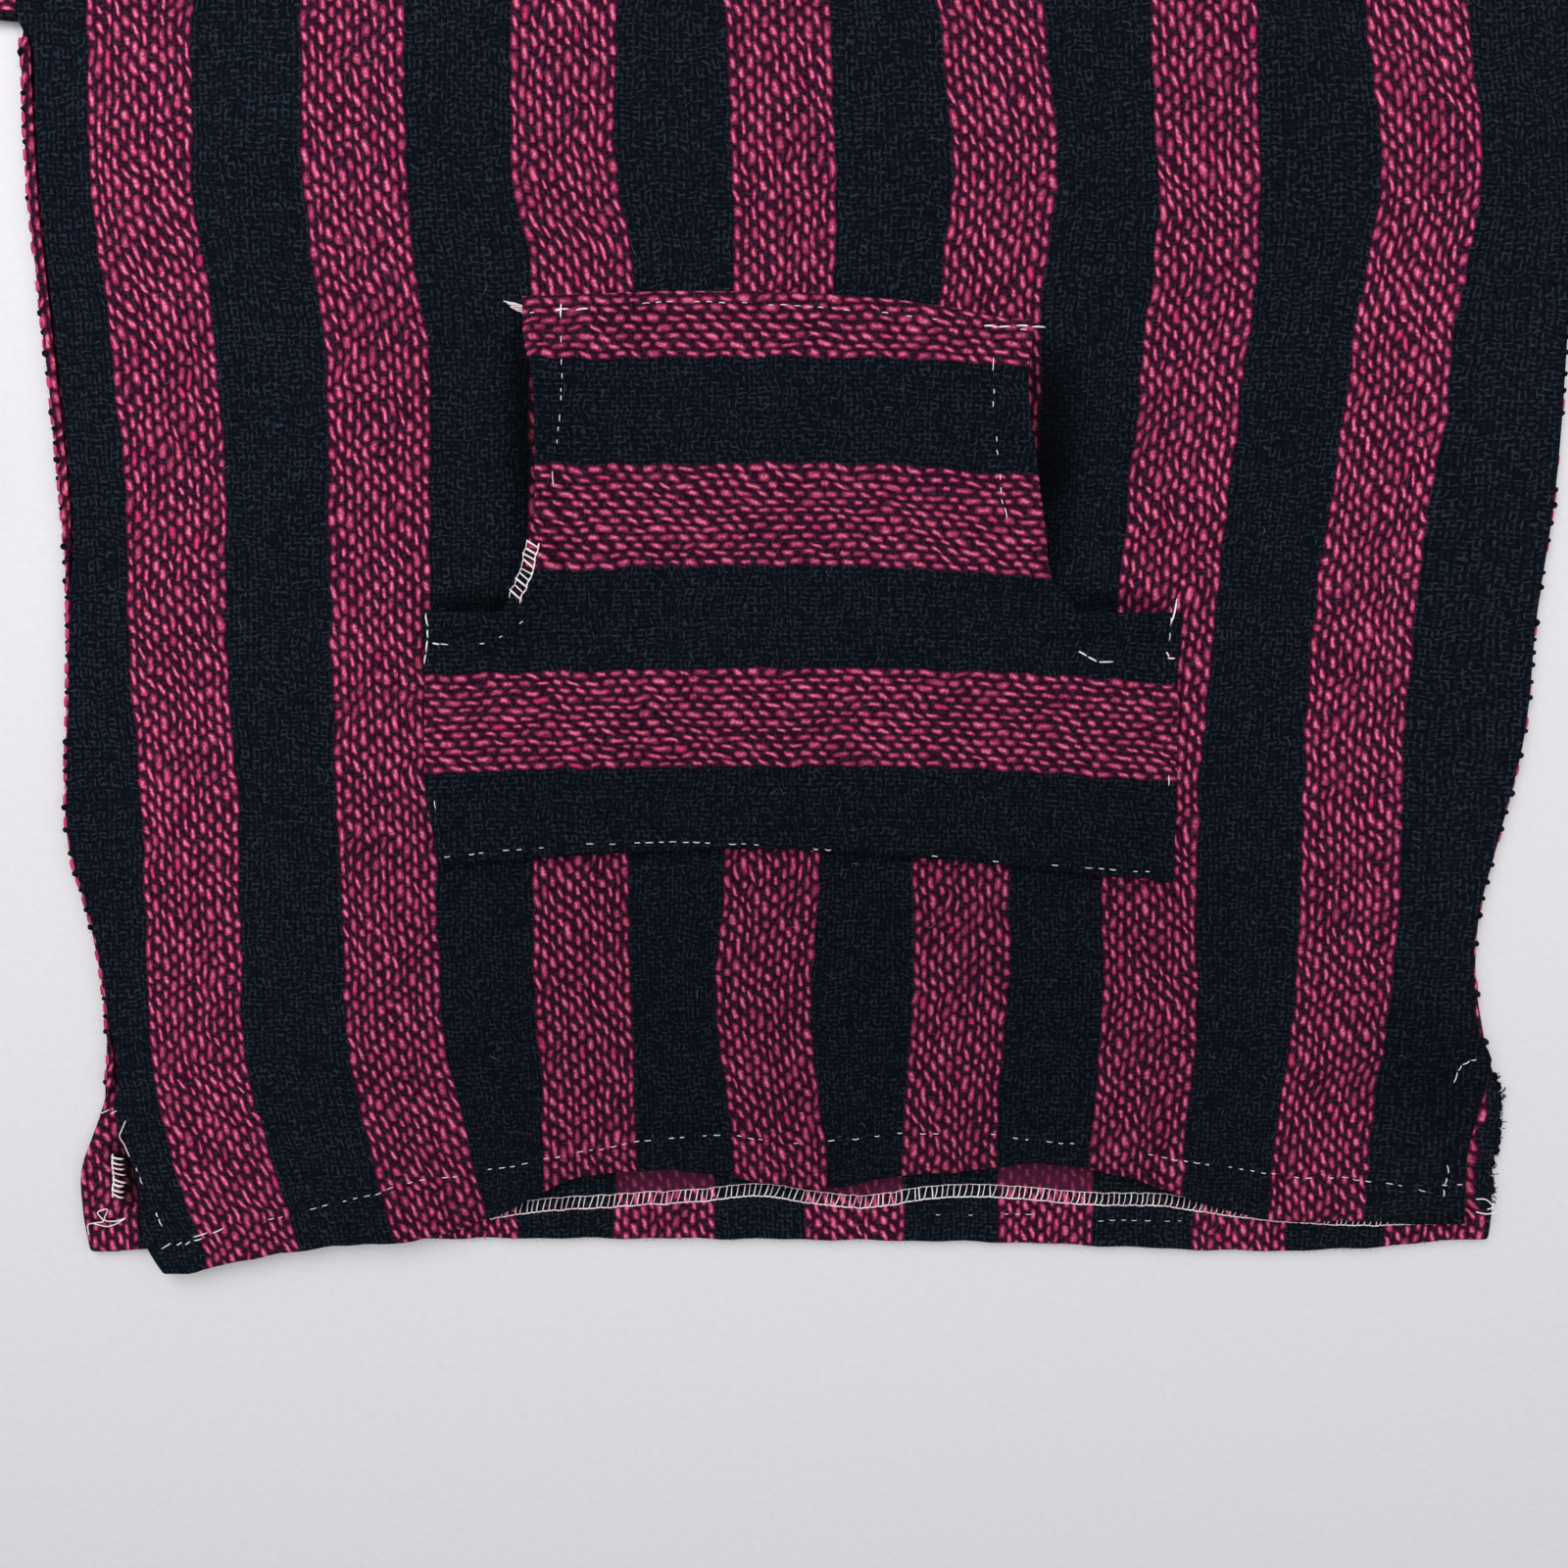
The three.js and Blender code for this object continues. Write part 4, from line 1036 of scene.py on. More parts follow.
def body_panel(node, is_front, columns, rows_side, rows_top, hem_steps):
    table = FRONT_SIDE_EDGES if is_front else SIDE_EDGES
    hem = front_hem_y if is_front else back_hem_y
    top_edge = front_top_edge if is_front else back_top_edge
    ends = np.ones(SIDE_COLUMNS)
    step = np.linspace(0, 1, SIDE_COLUMNS)
    share = np.concatenate([-ends, np.linspace(-1, 1, columns), ends])
    steps = np.concatenate([step, np.full(columns, np.nan), step[::-1]])
    side_of = np.where(np.isnan(steps), 0, share)
    home = share * (HALF_WIDTH - EDGE_REACH - FLAT_INSET * (side_of == 0))
    y, hem_drop, top_outer, top_inner = panel_rows(home, hem, top_edge, hem_steps, rows_side, rows_top)
    (x_outer, x_inner, unrolled), (side_outer, side_inner), half = panel_sides(
        table, y, share, steps, side_of, 1 if is_front else -1)
    outer_drop = joined_drop(joined_drop(side_outer, hem_drop, half), top_outer, half)
    inner_drop = side_inner + top_inner
    held = np.minimum(inner_drop, 0)
    inner_drop = np.where(hem_drop > 0, held - hem_drop + held * hem_drop / CLOTH, inner_drop)
    if is_front:
        z_outer = front_top(x_outer, y) - outer_drop
        under = front_top(x_inner, y) - CLOTH * front_layers(x_inner, y)
        z_inner = np.minimum(under - inner_drop, z_outer - LEAST_WALL)
        places = grid(front_stripe_place(unrolled, y), y)
        marks = {"shade": front_shade(x_outer, y)}
    else:
        z_outer = np.maximum(outer_drop, 0)
        z_inner = np.maximum(back_top(x_inner, y) + inner_drop, z_outer + LEAST_WALL)
        places = grid(back_stripe_place(unrolled, y), y)
        near_vent = (x_inner < -250) & (y < 60)
        # The reverse face above the hem is duller and in painted shade; back_shade is painted shade at
        # the left vent
        marks = {"reverse_shade": back_reverse_shade(x_outer, y), "shade": back_shade(x_inner, y) * near_vent}
    outer = grid(x_outer, y, z_outer)
    inner = grid(x_inner, y, z_inner)
    return add_cloth(node, outer, inner, places, COTTON, marks=marks)


# Pocket

POCKET_LOW = POCKET_WINGS[0]
POCKET_HIGH = POCKET_MIDDLE[-1]


def pocket_bend(x, y):
    """The lower and upper edges aren't straight: moves a place up or down near them."""
    low = curve(POCKET_LOW_Y, x) - POCKET_LOW[0]
    high = curve(POCKET_TOP_Y, x) - POCKET_HIGH[0]
    t = (y - POCKET_LOW[0]) / (POCKET_HIGH[0] - POCKET_LOW[0])
    return y + mix(low, high, t ** 2) * np.abs(2 * t - 1)


def pocket_outline():
    """The pocket's outline as closed points, from its lower right corner round to the left."""
    wing_y = np.linspace(POCKET_LOW[0], POCKET_SHELF_Y, 30)
    open_y = np.linspace(POCKET_SHELF_Y, POCKET_HIGH[0], 34)
    y = np.concatenate([wing_y, open_y])
    left, right = [grid(np.concatenate([curve(POCKET_WINGS, wing_y, column),
                                        curve(POCKET_MIDDLE, open_y, column)]), y)
                   for column in (1, 2)]
    across = np.linspace(0, 1, 60)
    low, top = [grid(mix(row[1], row[2], across), 0 * across + row[0])
                for row in (POCKET_LOW, POCKET_HIGH)]
    x, y = np.vstack([right, top[::-1], left[::-1], low]).T
    return grid(x, pocket_bend(x, y))


OUTLINE = pocket_outline()


def outline_distance(x, y):
    """Distance of places from the pocket's outline."""
    spot = grid(np.ravel(x), np.ravel(y))
    nearest = np.full(len(spot), np.inf)
    for start, end in zip(OUTLINE, np.roll(OUTLINE, -1, axis=0)):
        way = end - start
        size = max(float(way @ way), 1e-9)
        t = np.clip(((spot - start) @ way) / size, 0, 1)
        gap = np.hypot(*(spot - start - t[:, None] * way).T)
        nearest = np.minimum(nearest, gap)
    return nearest.reshape(np.shape(x))


def pocket_lift(x, y):
    lift = sum(height * np.exp(-((x - lip_x) / width) ** 2) * np.exp(-((y - lip_y) / length) ** 4)
               for lip_x, lip_y, width, length, height in POCKET_LIPS)
    shelf = 4.0 * np.exp(-((y - POCKET_SHELF_Y + 2) / 9) ** 2) * smooth((np.abs(x) - 104) / 10)
    middle = 0.9 * np.exp(-((y - 285) / 70) ** 2) * np.exp(-(x / 90) ** 4)
    pulls = sum(fold_height(pull, x, y) for pull in POCKET_PULLS)
    calm = smooth((pocket_edge_gap(x, y) - 3) / 12)
    return np.maximum(lift + shelf + middle + calm * (pulls + 0.5 * ripple(RIPPLES, x + 40, y)), 0.0)


def pocket_edge_gap(x, y):
    """A quick measure of how far inside the pocket's four outer edges a place is."""
    sides = np.minimum(x - POCKET_LOW[1], POCKET_LOW[2] - x)
    return np.minimum(sides, np.minimum(y - 172.0, 392.0 - y))


def pocket_thickness(x, y):
    inside = outline_distance(x, y)
    turned = 1 - smooth((inside - POCKET_ALLOWANCE + 1) / 5)
    stitched = np.exp(-((inside - POCKET_ALLOWANCE) / 1.8) ** 2)
    return CLOTH * (1 + 0.85 * turned) - 0.9 * stitched


def pocket_under(x, y):
    return front_top(x, y) + POCKET_GAP + pocket_lift(x, y)


def pocket_top(x, y):
    return pocket_under(x, y) + pocket_thickness(x, y)


def pocket_grid():
    """x and y of the pocket's points, closer together at its edges, and its cells of cloth."""
    edge = np.array([0, 0.08, 0.3, 0.7, 1.2, 1.8, 2.6, 4.2])
    wing_t = np.linspace(0, 1, 12)
    middle_t = np.linspace(0, 1, 58)
    low_y = POCKET_LOW[0] + np.concatenate([edge, np.linspace(7, 100, 28)])
    shelf_y = POCKET_SHELF_Y - edge[::-1]
    upper_y = np.linspace(POCKET_SHELF_Y + 2, POCKET_HIGH[0] - 7, 34)
    y = np.concatenate([low_y, shelf_y, upper_y, POCKET_HIGH[0] - edge[::-1]])[:, None]
    wing_y = np.minimum(y, POCKET_SHELF_Y)
    left, right = (curve(POCKET_WINGS, wing_y, column) for column in (1, 2))
    knee_left, knee_right = (curve(POCKET_MIDDLE, y, column) for column in (1, 2))
    x = np.hstack([
        left + edge, mix(left + 6, knee_left - 2.2, wing_t),
        knee_left + edge, mix(knee_left + 7, knee_right - 7, middle_t), knee_right - edge[::-1],
        mix(knee_right + 2.2, right - 6, wing_t), right - edge[::-1],
    ])
    shelf_row = len(low_y) + len(shelf_y) - 1
    wing_columns = len(edge) + len(wing_t)
    cells = np.ones((x.shape[0] - 1, x.shape[1] - 1), dtype=bool)
    cells[shelf_row:, :wing_columns] = False
    cells[shelf_row:, -wing_columns:] = False
    return x, pocket_bend(x, y), cells


def pocket():
    x, y, cells = pocket_grid()
    half = pocket_thickness(x, y) / 2
    part = round_share(outline_distance(x, y), half, 0.12)
    middle = pocket_under(x, y) + half
    bow = 5.0 * (x / 150) ** 2 - 2.0 - 3.0 * (x / 150)
    reach = mix(155, 98, smooth((y - 250) / 50))
    sink = 6.0 * (np.clip(x, 0, None) / reach) ** 1.8
    places = grid(y - POCKET_STRIPE_Y + bow * 0.35 + sink, x)
    outer = grid(x, y, middle + part * half)
    inner = grid(x, y, middle - part * half)
    return add_cloth("kangaroo_pocket", outer, inner, places, POCKET_COTTON, cells,
                     marks={"shade": hollow_shade(x, y) + 0.05}, slot="pocket_cotton")


# Sleeves

TUBE_ACROSS = 44
TUBE_TURNS = 7
FOLD_LINE = np.array([1 + FOREARM_WAY[0], FOREARM_WAY[1]])
FOLD_LINE = FOLD_LINE / np.hypot(*FOLD_LINE)
FOLD_OUT = np.array([-FOLD_LINE[1], FOLD_LINE[0]])


def tube_section(edge_radius, low, high):
    """Flattened tube: share of the half width, what the round edge adds, height, and which face."""
    middle = (low + high) / 2
    steps = np.radians(np.linspace(-90, 90, TUBE_TURNS + 2)[1:-1])
    flat = np.linspace(-1, 1, TUBE_ACROSS + 1)
    none = 0 * flat
    one = 0 * steps + 1
    round_x = edge_radius * np.cos(steps)
    round_z = edge_radius * np.sin(steps)
    return np.vstack([
        grid(flat, none, none + low, none),
        grid(one, round_x, middle + round_z, 2 * one),
        grid(-flat, none, none + high, none + 1),
        grid(-one, -round_x, middle - round_z, 3 * one),
    ])


def folded_place(along, across, height, side):
    """Where a point of the straight sleeve goes when its forearm is folded over."""
    past = (along - FOLD_REACH) * FOLD_OUT[0] + across * FOLD_OUT[1]
    slide = (along - FOLD_REACH) * FOLD_LINE[0] + across * FOLD_LINE[1]
    angle = past / FOLD_NEUTRAL
    radius = FRONT_TOP + FOLD_RADIUS - height
    in_wrap = (past > 0) & (past < FOLD_WRAP)
    beyond = past >= FOLD_WRAP
    reach = np.where(in_wrap, radius * np.sin(angle), np.where(beyond, FOLD_WRAP - past, past))
    z = np.where(in_wrap, FRONT_TOP + FOLD_RADIUS - radius * np.cos(angle),
                 np.where(beyond, FOLD_RISE - height, height))
    x = HALF_WIDTH + CLEARANCE + FOLD_REACH + slide * FOLD_LINE[0] + reach * FOLD_OUT[0]
    y = SLEEVE_MID_Y + slide * FOLD_LINE[1] + reach * FOLD_OUT[1]
    drop = smooth((FOREARM_DROP[0] - y) / (FOREARM_DROP[0] - FOREARM_DROP[1]))
    return grid(side * x, y, np.where(beyond, z - FOLD_RISE / 2 * drop, z))


def station_place(t, across):
    """Distance along the sleeve: t is 1 where the fold starts, 2 where it ends and 3 at the cuff."""
    start = FOLD_REACH - across * FOLD_OUT[1] / FOLD_OUT[0]
    end = start + FOLD_WRAP / FOLD_OUT[0]
    later = np.where(t <= 2, mix(start, end, t - 1), mix(end, SLEEVE_LENGTH, t - 2))
    return np.where(t <= 1, mix(0, start, t), later)


def sleeve_face(t, radius, low, high):
    """Along, across and height of one face of the straight sleeve, and which part each point is."""
    share, beyond, height, part = tube_section(radius, low, high).T[:, None, :]
    along = np.zeros((len(t), share.shape[1]))
    for _ in range(5):
        width = mix(ARMHOLE_DEPTH, CUFF_WIDTH, along / SLEEVE_LENGTH)
        across = share * (width / 2 - SEAM_RADIUS) + beyond
        along = station_place(t, across)
    folds = sum(fold_height(fold, along, across) for fold in SLEEVE_FOLDS)
    folds = folds + 0.6 * ripple(RIPPLES, along, across)
    clear = smooth((1 - np.abs(share)) * 5)
    folds = folds * clear * (part == 0) * smooth((along - FOLD_REACH - 40) / 40)
    return along, across, height - folds, part


def sleeve(node, side):
    edge = np.array([0.0002, 0.0008, 0.0018, 0.0032])
    forearm = np.concatenate([np.linspace(0, 1, 66)[1:-1], 1 - edge[::-1] * 2, [1.0]])
    stations = np.concatenate([[0.0], edge * 8, np.linspace(0, 1, 22)[1:],
                               np.linspace(1, 2, 11)[1:], 2 + forearm])[:, None]
    along, across, height, part = sleeve_face(stations, SEAM_RADIUS, 0, FRONT_TOP)
    inner = sleeve_face(stations, INNER_RADIUS, CLOTH, FRONT_UNDER)[:3]
    tip = np.minimum(along, SLEEVE_LENGTH - along)
    faces = close_edges(folded_place(along, across, height, side), folded_place(*inner, side), tip)
    turned = np.where(part == 1, 1.0, 0.0)
    places = grid(across * mix(1, -1, turned) + STRIPE * (0.5 + turned), along)
    return add_cloth(node, *faces, places, COTTON, joined=True)


# Hood

def hood_way(start, end):
    """The unit direction between two places, which may be one place."""
    return (end - start) / max(np.hypot(*(end - start)), 1e-6)


def hood_row(along, edge_radius, low, high, across):
    """One row of a half: over the lower layer, round the side fold and back over the upper one."""
    seam_y, fold_x, fold_y, opening_x, opening_y = [float(curve(HOOD_ROWS, along, k))
                                                    for k in range(1, 6)]
    seam = np.array([HOOD_SEAM_X, seam_y])
    fold = np.array([fold_x, fold_y])
    opening = np.array([max(opening_x, HOOD_SEAM_X), opening_y])
    under_way = hood_way(seam, fold)
    over_way = hood_way(opening, fold)
    t = across[:, None]
    lower = mix(seam[None, :], (fold - under_way * SEAM_RADIUS)[None, :], t)
    lower[:, 1] -= HOOD_NECK_SAG * across * (1 - across) * (1 - along) ** 4
    upper = mix((fold - over_way * SEAM_RADIUS)[None, :], opening[None, :], t)
    turned = []
    for turn in np.radians(np.linspace(-78, 78, 9)):
        way = mix(under_way, over_way, (math.degrees(turn) + 90) / 180)
        way = way / np.hypot(*way)
        spot = fold + way * (edge_radius * math.cos(turn) - SEAM_RADIUS)
        turned.append([*spot, (low + high) / 2 + edge_radius * math.sin(turn)])
    rise = sum(height * np.exp(-((along - place) / spread) ** 2)
               * np.exp(-((across - middle) / width) ** 2)
               for place, middle, width, spread, height in HOOD_FOLDS)
    calm = smooth(across * 8) * smooth(along * 8) * smooth((1 - along) * 8)
    rise = rise + 0.6 * calm * ripple(RIPPLES, upper[:, 0], upper[:, 1])
    return np.vstack([np.column_stack([lower, np.full(len(across), low)]), turned,
                      np.column_stack([upper, high + rise])])


def hood_face(side, shares, *section):
    rows = np.array([hood_row(along, *section) for along in shares])
    rows[:, :, 0] = side * np.maximum(rows[:, :, 0], HOOD_SEAM_X)
    return rows


def run_along(places, axis):
    """Distance along a grid's rows or columns, from their first point."""
    steps = np.linalg.norm(np.diff(places, axis=axis), axis=-1)
    return np.insert(np.cumsum(steps, axis=axis), 0, 0, axis=axis)


def hood_half(node, side):
    edge = np.array([0, 0.0015, 0.005, 0.011])
    shares = np.concatenate([edge, np.linspace(0.02, 0.98, 88), 1 - edge[::-1]])
    across = np.concatenate([edge, np.linspace(0.02, 0.98, 30), 1 - edge[::-1]])
    outer = hood_face(side, shares, SEAM_RADIUS, 0, FRONT_TOP, across)
    inner = hood_face(side, shares, INNER_RADIUS, CLOTH, FRONT_UNDER, across)
    run = run_along(outer[:, :, :2], 1)
    rise = run_along(outer[:, :, :2], 0)
    tip = np.minimum(np.minimum(run, run[:, -1:] - run), np.minimum(rise, rise[-1:] - rise))
    from_seam = side * outer[:, :, 0]
    upper = np.arange(outer.shape[1]) > outer.shape[1] // 2
    from_seam = np.where(upper, 2 * HOOD_HALF_CUT - from_seam, from_seam)
    places = grid(side * from_seam + STRIPE / 2, outer[:, :, 1])
    return add_cloth(node, *close_edges(outer, inner, tip), places, COTTON)


# Sewing threads, laid on the cloth

# Heights of a stitch's points over the cloth
DASH_LIFTS = np.array([-0.5, 0.15, 0.3, 0.15, -0.5])
STITCH_LIFTS = np.array([-0.3, 0.25, 0.4, 0.25, -0.3])
RUNG_LIFTS = np.array([-0.3, 0.25, 0.34, 0.36, 0.34, 0.25, -0.2])
RAIL_LIFTS = np.array([0, 0.25, 0.32, 0.25, 0])
END_SIZE = 0.45


def unit(ways):
    return ways / np.maximum(np.linalg.norm(ways, axis=1, keepdims=True), 1e-9)


class Threads:
    """Many short tubes, joined into one mesh."""

    def __init__(self):
        self.points = []
        self.faces = []
        self.count = 0

    def add(self, path, radius, sides=5):
        path = np.asarray(path, dtype=float)
        ways = unit(np.gradient(path, axis=0))
        beside = unit(np.cross(ways, np.array([0.0, 0.0, 1.0])))
        over = np.cross(beside, ways)
        sizes = np.full(len(path), radius)
        sizes[[0, -1]] = radius * END_SIZE
        angles = np.linspace(0, 2 * math.pi, sides, endpoint=False)[None, :, None]
        rings = (path[:, None, :] + sizes[:, None, None]
                 * (np.cos(angles) * beside[:, None, :] + np.sin(angles) * over[:, None, :]))
        self.points.append(rings.reshape(-1, 3))
        start = self.count
        self.count += len(path) * sides
        for ring in range(start, self.count - sides, sides):
            for k in range(sides):
                a = ring + k
                b = ring + (k + 1) % sides
                self.faces.append((a, b, b + sides, a + sides))
        self.faces.append(tuple(range(start + sides - 1, start - 1, -1)))
        self.faces.append(tuple(range(self.count - sides, self.count)))

    def lay(self, spots, surface, lifts, radius):
        """A tube over places x, y of the cloth, lifted off its surface."""
        height = surface(spots[:, 0], spots[:, 1]) + lifts
        self.add(np.column_stack([spots, height]), radius)

    def build(self, name, material):
        add_piece(name, np.vstack(self.points), self.faces, material)


def along_line(line, step, jitter):
    """Places every step along a polyline."""
    line = np.asarray(line, dtype=float)
    run = np.concatenate([[0], np.cumsum(np.hypot(*np.diff(line, axis=0).T))])
    stops = np.arange(0, run[-1], step)
    stops = stops + rng.uniform(-jitter, jitter, len(stops))
    return np.column_stack([np.interp(stops, run, line[:, k]) for k in (0, 1)])


def dashes(threads, line, surface, seen, radius):
    """Lockstitches: short threads that dip into the cloth at both ends, some hidden in the nap."""
    spots = along_line(line, DASH_PITCH, 0.5)
    for start, end in zip(spots[:-1], spots[1:]):
        shown = rng.random() < seen
        reach = rng.uniform(0.45, 0.8)
        bend = rng.normal(0, 0.25, 2)
        if shown:
            t = np.linspace(0, reach, 5)
            bow = np.outer(np.sin(math.pi * t / reach), bend)
            threads.lay(start + (end - start) * t[:, None] + bow, surface, DASH_LIFTS, radius)


def overlock(threads, line, surface, width=4.6, pitch=2.6, radius=0.27, rails=(0.7, 1.15)):
    """Ladder of an overlocked raw edge: two rails with slanting rungs, over the edge's step."""
    spots = along_line(line, pitch, 0.25)
    ways = np.gradient(spots, axis=0)
    ways = ways / np.hypot(*ways.T)[:, None]
    normal = np.column_stack([-ways[:, 1], ways[:, 0]])
    outer_rail = spots + normal * (width * 0.32)
    inner_rail = spots - normal * (width * 0.68)
    wobble = rng.normal(0, 0.38, (len(spots), 2))
    for i in range(len(spots) - 1):
        start = inner_rail[i] + wobble[i]
        end = outer_rail[i] + ways[i] * pitch * 0.55 + wobble[i + 1] * 0.6
        path = start + (end - start) * np.linspace(-0.04, 1.04, 7)[:, None]
        height = surface(path[:, 0], path[:, 1])
        height = np.maximum(height, [0, 0, 0, 0, height[3] - 0.6, height[3] - 1.2, 0])
        threads.add(np.column_stack([path, height + RUNG_LIFTS]), radius * rng.uniform(0.65, 1.15))
    for rail, size in zip((outer_rail, inner_rail), rails):
        rail = rail + wobble * 0.5
        for start, end in zip(rail[:-1], rail[1:]) if size > 0 else ():
            path = start + (end - start) * np.linspace(-0.1, 1.1, 5)[:, None]
            threads.lay(path, surface, RAIL_LIFTS, radius * size)


def loose_thread(threads, places, surface, lift, radius):
    """A thread over given places of the cloth, on a smooth curve."""
    places = np.asarray(places, dtype=float)
    height = surface(places[:, 0], places[:, 1]) + lift
    table = np.column_stack([np.arange(len(places)), places, height])
    t = np.linspace(0, len(places) - 1, 8 * len(places))
    threads.add(np.column_stack([curve(table, t, k) for k in (1, 2, 3)]), radius)


def stitches(threads, segments, surface, radius):
    """Single stitches, each between two places of the cloth: x, y, x, y."""
    t = np.linspace(0, 1, 5)
    for x1, y1, x2, y2 in segments:
        threads.lay(grid(mix(x1, x2, t), mix(y1, y2, t)), surface, STITCH_LIFTS, radius)


def vent_edge_top(x, y):
    """Over the raw edge beside the left vent, falling to the single cloth."""
    return 2 * CLOTH + 0.2 - 0.3 * np.maximum(x + 298.5, 0) + 0 * y


def sew_hem():
    hem = Threads()
    dashes(hem, HEM_STITCH[HEM_STITCH[:, 0] > -250], front_top, 0.55, 0.2)
    stitches(hem, HEM_LEFT_STITCHES, front_top, 0.28)
    stitches(hem, VENT_STITCHES, front_top, 0.22)
    hem.build("hem_topstitch", THREAD)

    edge = Threads()
    line_x = np.linspace(-136, BACK_RAW_EDGE[-1, 0] - 6, 120)
    overlock(edge, grid(line_x, curve(BACK_RAW_EDGE, line_x)), back_top)
    overlock(edge, LEFT_VENT_EDGE, vent_edge_top, 4.2, 2.5, 0.5, (0.9, 0))
    for line in BACK_HEM_STITCHES:
        dashes(edge, line, back_top, 0.6, 0.16)
    for places, lift in ((LEFT_VENT_TACK, 0.35), (RIGHT_VENT_LOOP, 0.8), (RIGHT_VENT_END, 0.8)):
        loose_thread(edge, places, back_top, lift, 0.3)
    edge.build("back_hem_overlock", THREAD)


def sew_pocket():
    seams = Threads()
    dashes(seams, POCKET_TOP_STITCH, pocket_top, 0.62, 0.19)
    dashes(seams, POCKET_LOW_STITCH, pocket_top, 0.5, 0.19)
    stitches(seams, POCKET_STITCHES, pocket_top, 0.2)
    stitches(seams, POCKET_TACKS, pocket_top, 0.36)
    overlock(seams, LEFT_KNEE_EDGE, pocket_top, 4.8, 2.7, 0.42, (0.85, 0.5))
    seams.build("pocket_topstitch", THREAD)


def loose_ends():
    """A tuft of strands at the pocket's left upper corner, and one long end above the left vent."""
    ends = Threads()
    start, end = np.array(TUFT)
    way = end - start
    beside = np.array([-way[1], way[0]]) / np.hypot(*way)
    for strand in range(TUFT_STRANDS):
        t = np.linspace(0, rng.uniform(0.7, 1.0), 12)
        turn = t * 5 + strand * 0.9
        off = 1.2 * np.sin(math.pi * np.clip(t * 0.9 + 0.1, 0, 1)) * np.sin(turn)
        spots = start + way * t[:, None] + beside * off[:, None]
        ends.lay(spots, front_top, 1.6 + 0.7 * np.cos(turn), 0.3)
    loose_thread(ends, LONG_END, front_top, 0.5, 0.24)
    ends.build("loose_thread_ends", THREAD)


# Yarns that turn round the edges, and stray fibres

def edge_turns(dark, pink, side, y):
    """Up one side from y: black weft nubs with pink floats between them."""
    ring = SEAM_RADIUS - 0.15
    while y < ARMPIT_Y - 6:
        edge = float(side_edge(SIDE_EDGES, side, y))
        size = rng.uniform(0.9, 1.5)
        angle = np.radians(np.linspace(-65, rng.uniform(40, 95), 8))
        x = edge - side * (SEAM_RADIUS - ring * np.cos(angle))
        z = np.maximum(SEAM_RADIUS + ring * np.sin(angle), size)
        slant = y + rng.uniform(-1.4, 1.4) * np.linspace(-0.5, 0.5, 8)
        if rng.random() < NUB_CHANCE:
            dark.add(grid(x, slant, z), size, 7)
        turn = math.radians(rng.uniform(*FLOAT_TURNS[side]))
        y_pink = y + WEFT_PITCH + np.linspace(-2.4, 2.4, 7)
        x_edge = side_edge(SIDE_EDGES, side, y_pink)
        x_pink = x_edge - side * (SEAM_RADIUS - ring * math.cos(turn))
        z_pink = SEAM_RADIUS + ring * math.sin(turn) + 0.2 * np.cos(np.linspace(-1.5, 1.5, 7))
        if rng.random() < FLOAT_CHANCE[side]:
            pink.add(grid(x_pink, y_pink, z_pink), rng.uniform(0.7, 0.95), 7)
        y += 2 * WEFT_PITCH + rng.normal(0, 1.1)


def edge_yarns():
    dark = Threads()
    pink = Threads()
    for side, lowest in ((-1, 74.0), (1, 92.0)):
        edge_turns(dark, pink, side, lowest)
    y = 24.0
    t = np.linspace(-0.5, 0.5, 5)
    while y < VENT_TOP[1] - 8:
        edge = float(side_edge(SIDE_EDGES, 1, y))
        x = edge - 0.6 + 1.8 * rng.random() * np.cos(math.pi * t)
        dark.add(grid(x, y + 4.5 * t, 2.3 + 0 * t), rng.uniform(0.8, 1.3), 7)
        y += rng.uniform(3.2, 6.0)
    dark.build("edge_weft_nubs", DARK_YARN)
    pink.build("edge_warp_floats", PINK_YARN)


def fibre(threads, x, y, z, length, radius, out=None):
    """One short curled fibre, lying on the cloth or standing out of an edge."""
    turn = rng.uniform(0, 2 * math.pi) if out is None else out + rng.normal(0, 0.5)
    bend = rng.normal(0, 1.2)
    t = np.linspace(0, 1, 5)
    way = turn + bend * t
    path_x = x + np.cumsum(np.cos(way)) * length / 5
    path_y = y + np.cumsum(np.sin(way)) * length / 5
    threads.add(grid(path_x, path_y, z + 0.5 * np.sin(math.pi * t)), radius, 3)


def scatter_lint():
    """Pale lint on the front and on the pocket."""
    lint = Threads()
    for _ in range(LINT_COUNT):
        x = rng.uniform(-285, 285)
        y = rng.uniform(50, 500)
        top = pocket_top if -100 < x < 90 and 180 < y < 390 else front_top
        height = float(top(np.float64(x), np.float64(y))) + 0.2
        fibre(lint, x, y, height, rng.uniform(2, 7), rng.uniform(0.03, 0.07))
    lint.build("lint", LINT)


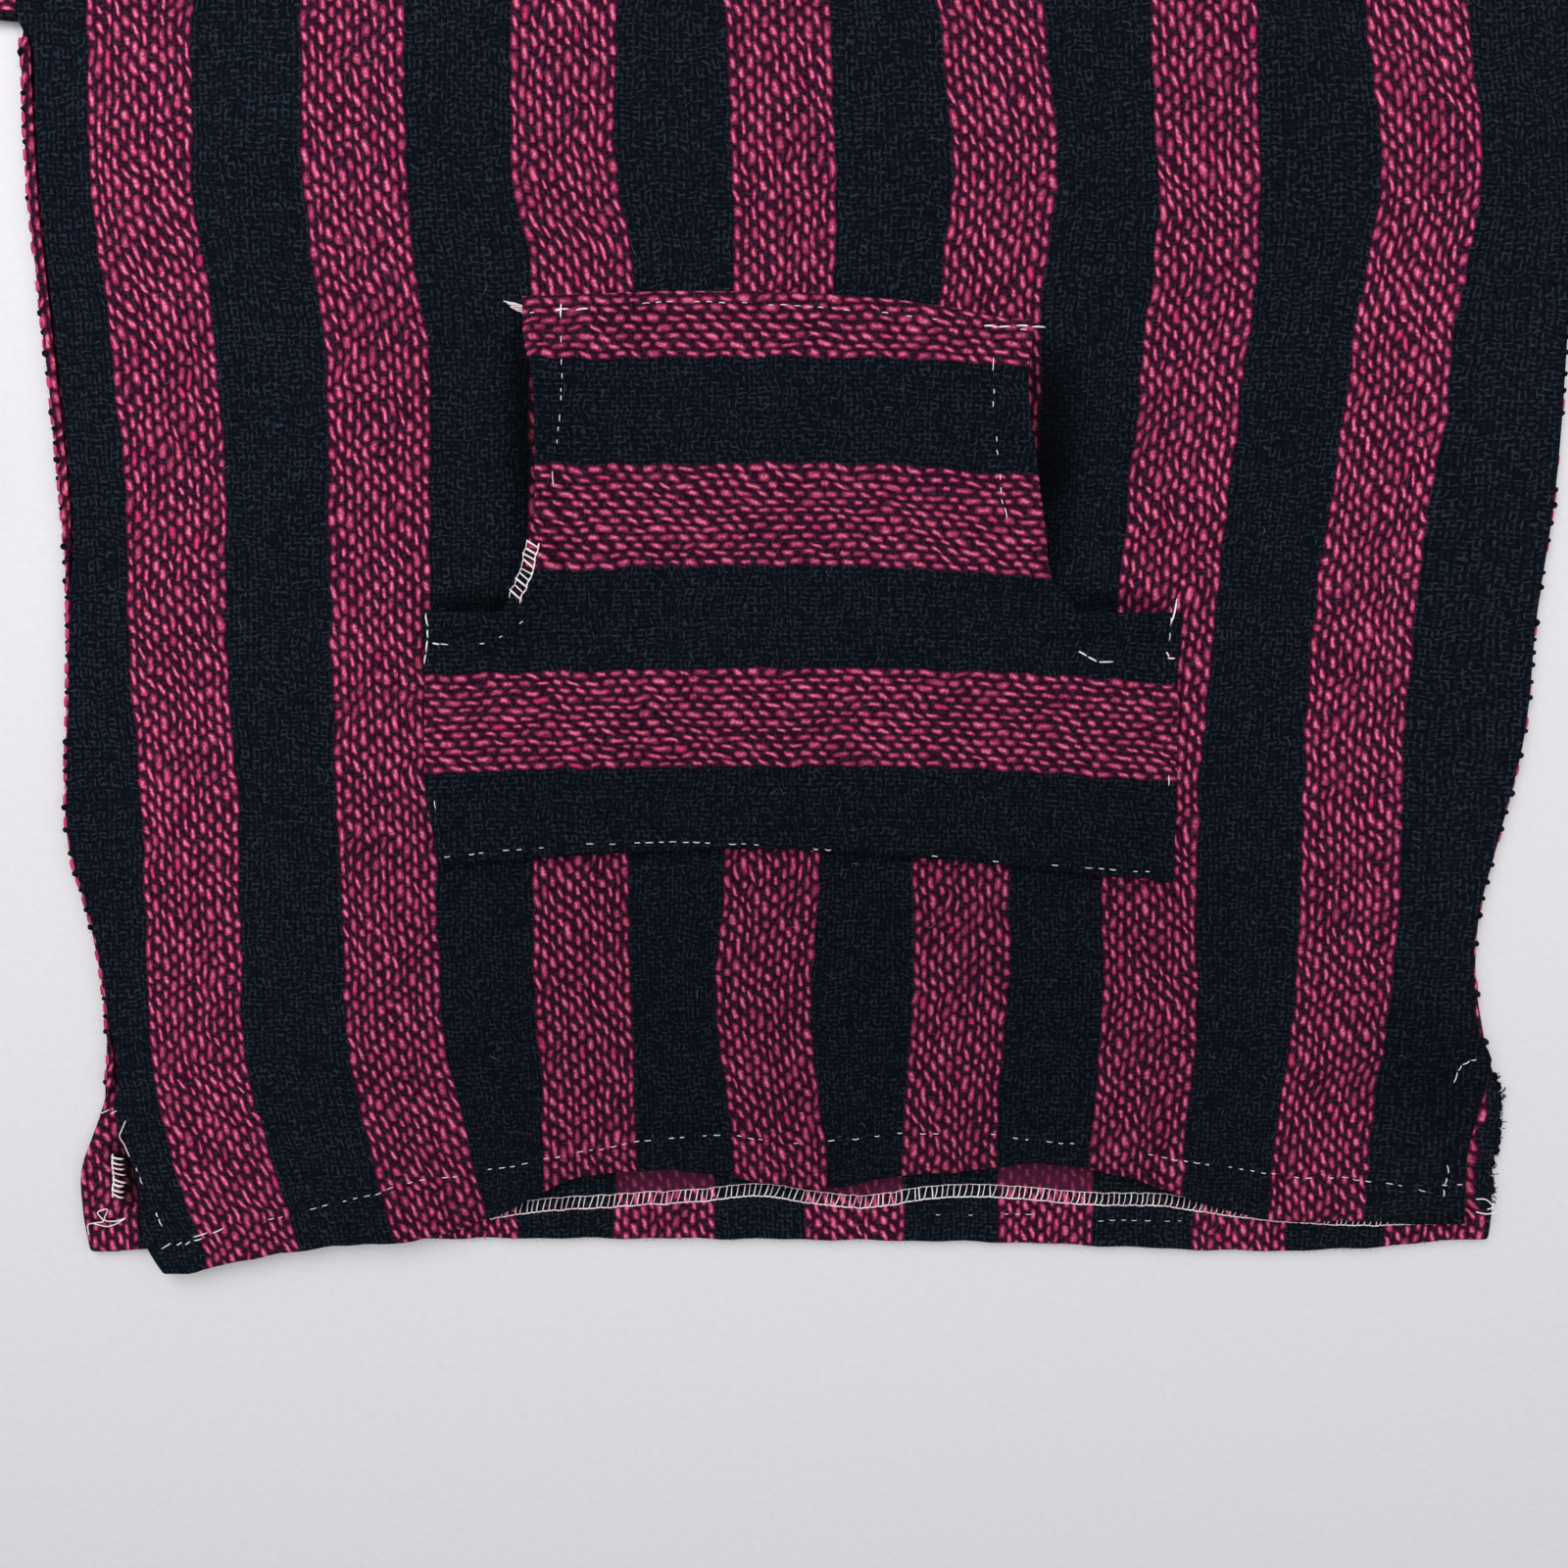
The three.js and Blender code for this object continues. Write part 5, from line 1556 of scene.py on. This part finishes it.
def edge_fuzz():
    """Short fibres: dark ones at the right vent and the hems, pink ones up the left side."""
    dark = Threads()
    pink = Threads()
    for y in np.arange(18, VENT_TOP[1] - 6, 0.55):
        x = float(side_edge(SIDE_EDGES, 1, y))
        fibre(dark, x - 0.5, y, rng.uniform(1.0, 3.4), rng.uniform(1.4, 3.8), 0.2, 0.0)
    for _ in range(9):
        fibre(dark, 304.5, 68.5 + rng.normal(0, 0.8), 2.4, rng.uniform(3.5, 5.5), 0.22, -0.4)
    for y in np.arange(76, 500, 1.3):
        x = float(side_edge(SIDE_EDGES, -1, y))
        fibre(pink, x + 0.4, y, rng.uniform(1.6, 4.0), rng.uniform(0.9, 2.2), 0.06, math.pi)
    for x in np.arange(-282, 300, 1.6):
        low = float(front_hem_y(x)) if x < -190 else float(back_hem_y(x))
        fibre(dark, x, low + 0.4, rng.uniform(1.4, 3.4), rng.uniform(0.8, 1.9), 0.07, -math.pi / 2)
    dark.build("edge_fibres_dark", DARK_YARN)
    pink.build("edge_fibres_pink", PINK_YARN)


# The pieces

front = body_panel("front_panel", True, 150, 112, 36, FRONT_HEM_STEPS)
back = body_panel("back_panel", False, 110, 46, 24, BACK_HEM_STEPS)
pocket_piece = pocket()
sleeves = [sleeve("sleeve_left", 1), sleeve("sleeve_right", -1)]
hoods = [hood_half("hood_left", 1), hood_half("hood_right", -1)]
sew_hem()
sew_pocket()
loose_ends()
edge_yarns()
scatter_lint()
edge_fuzz()


# Floor, light and camera

def link(name, data, place, turn):
    made = bpy.data.objects.new(name, data)
    made.location = place
    made.rotation_euler = turn
    bpy.context.scene.collection.objects.link(made)
    return made


def stage_floor():
    bpy.ops.mesh.primitive_plane_add(size=FLOOR_SIZE, location=(0, 0, FLOOR_Z))
    floor = bpy.context.object
    floor.name = "floor"
    floor.data.materials.append(floor_material())


def area_light(name, place, power):
    data = bpy.data.lights.new(name, "AREA")
    data.shape = "SQUARE"
    data.size = LIGHT_SIZE
    data.energy = power
    x, y, z = LIGHT_AIM - np.array(place)
    link(name, data, place, (math.atan2(math.hypot(x, y), -z), 0, math.atan2(y, x) - math.pi / 2))


def world_light():
    world = bpy.data.worlds.new("soft_room")
    world.use_nodes = True
    background = world.node_tree.nodes["Background"]
    background.inputs[0].default_value = ROOM_COLOUR
    background.inputs[1].default_value = ROOM_STRENGTH
    bpy.context.scene.world = world


def aim_camera():
    data = bpy.data.cameras.new("camera")
    data.lens = LENS
    data.sensor_width = SENSOR_WIDTH
    bpy.context.scene.camera = link("camera", data, CAMERA_PLACE, (CAMERA_TILT, 0, 0))


stage_floor()
for light in LIGHTS:
    area_light(*light)
world_light()
aim_camera()
bpy.context.scene.view_settings.view_transform = "Standard"
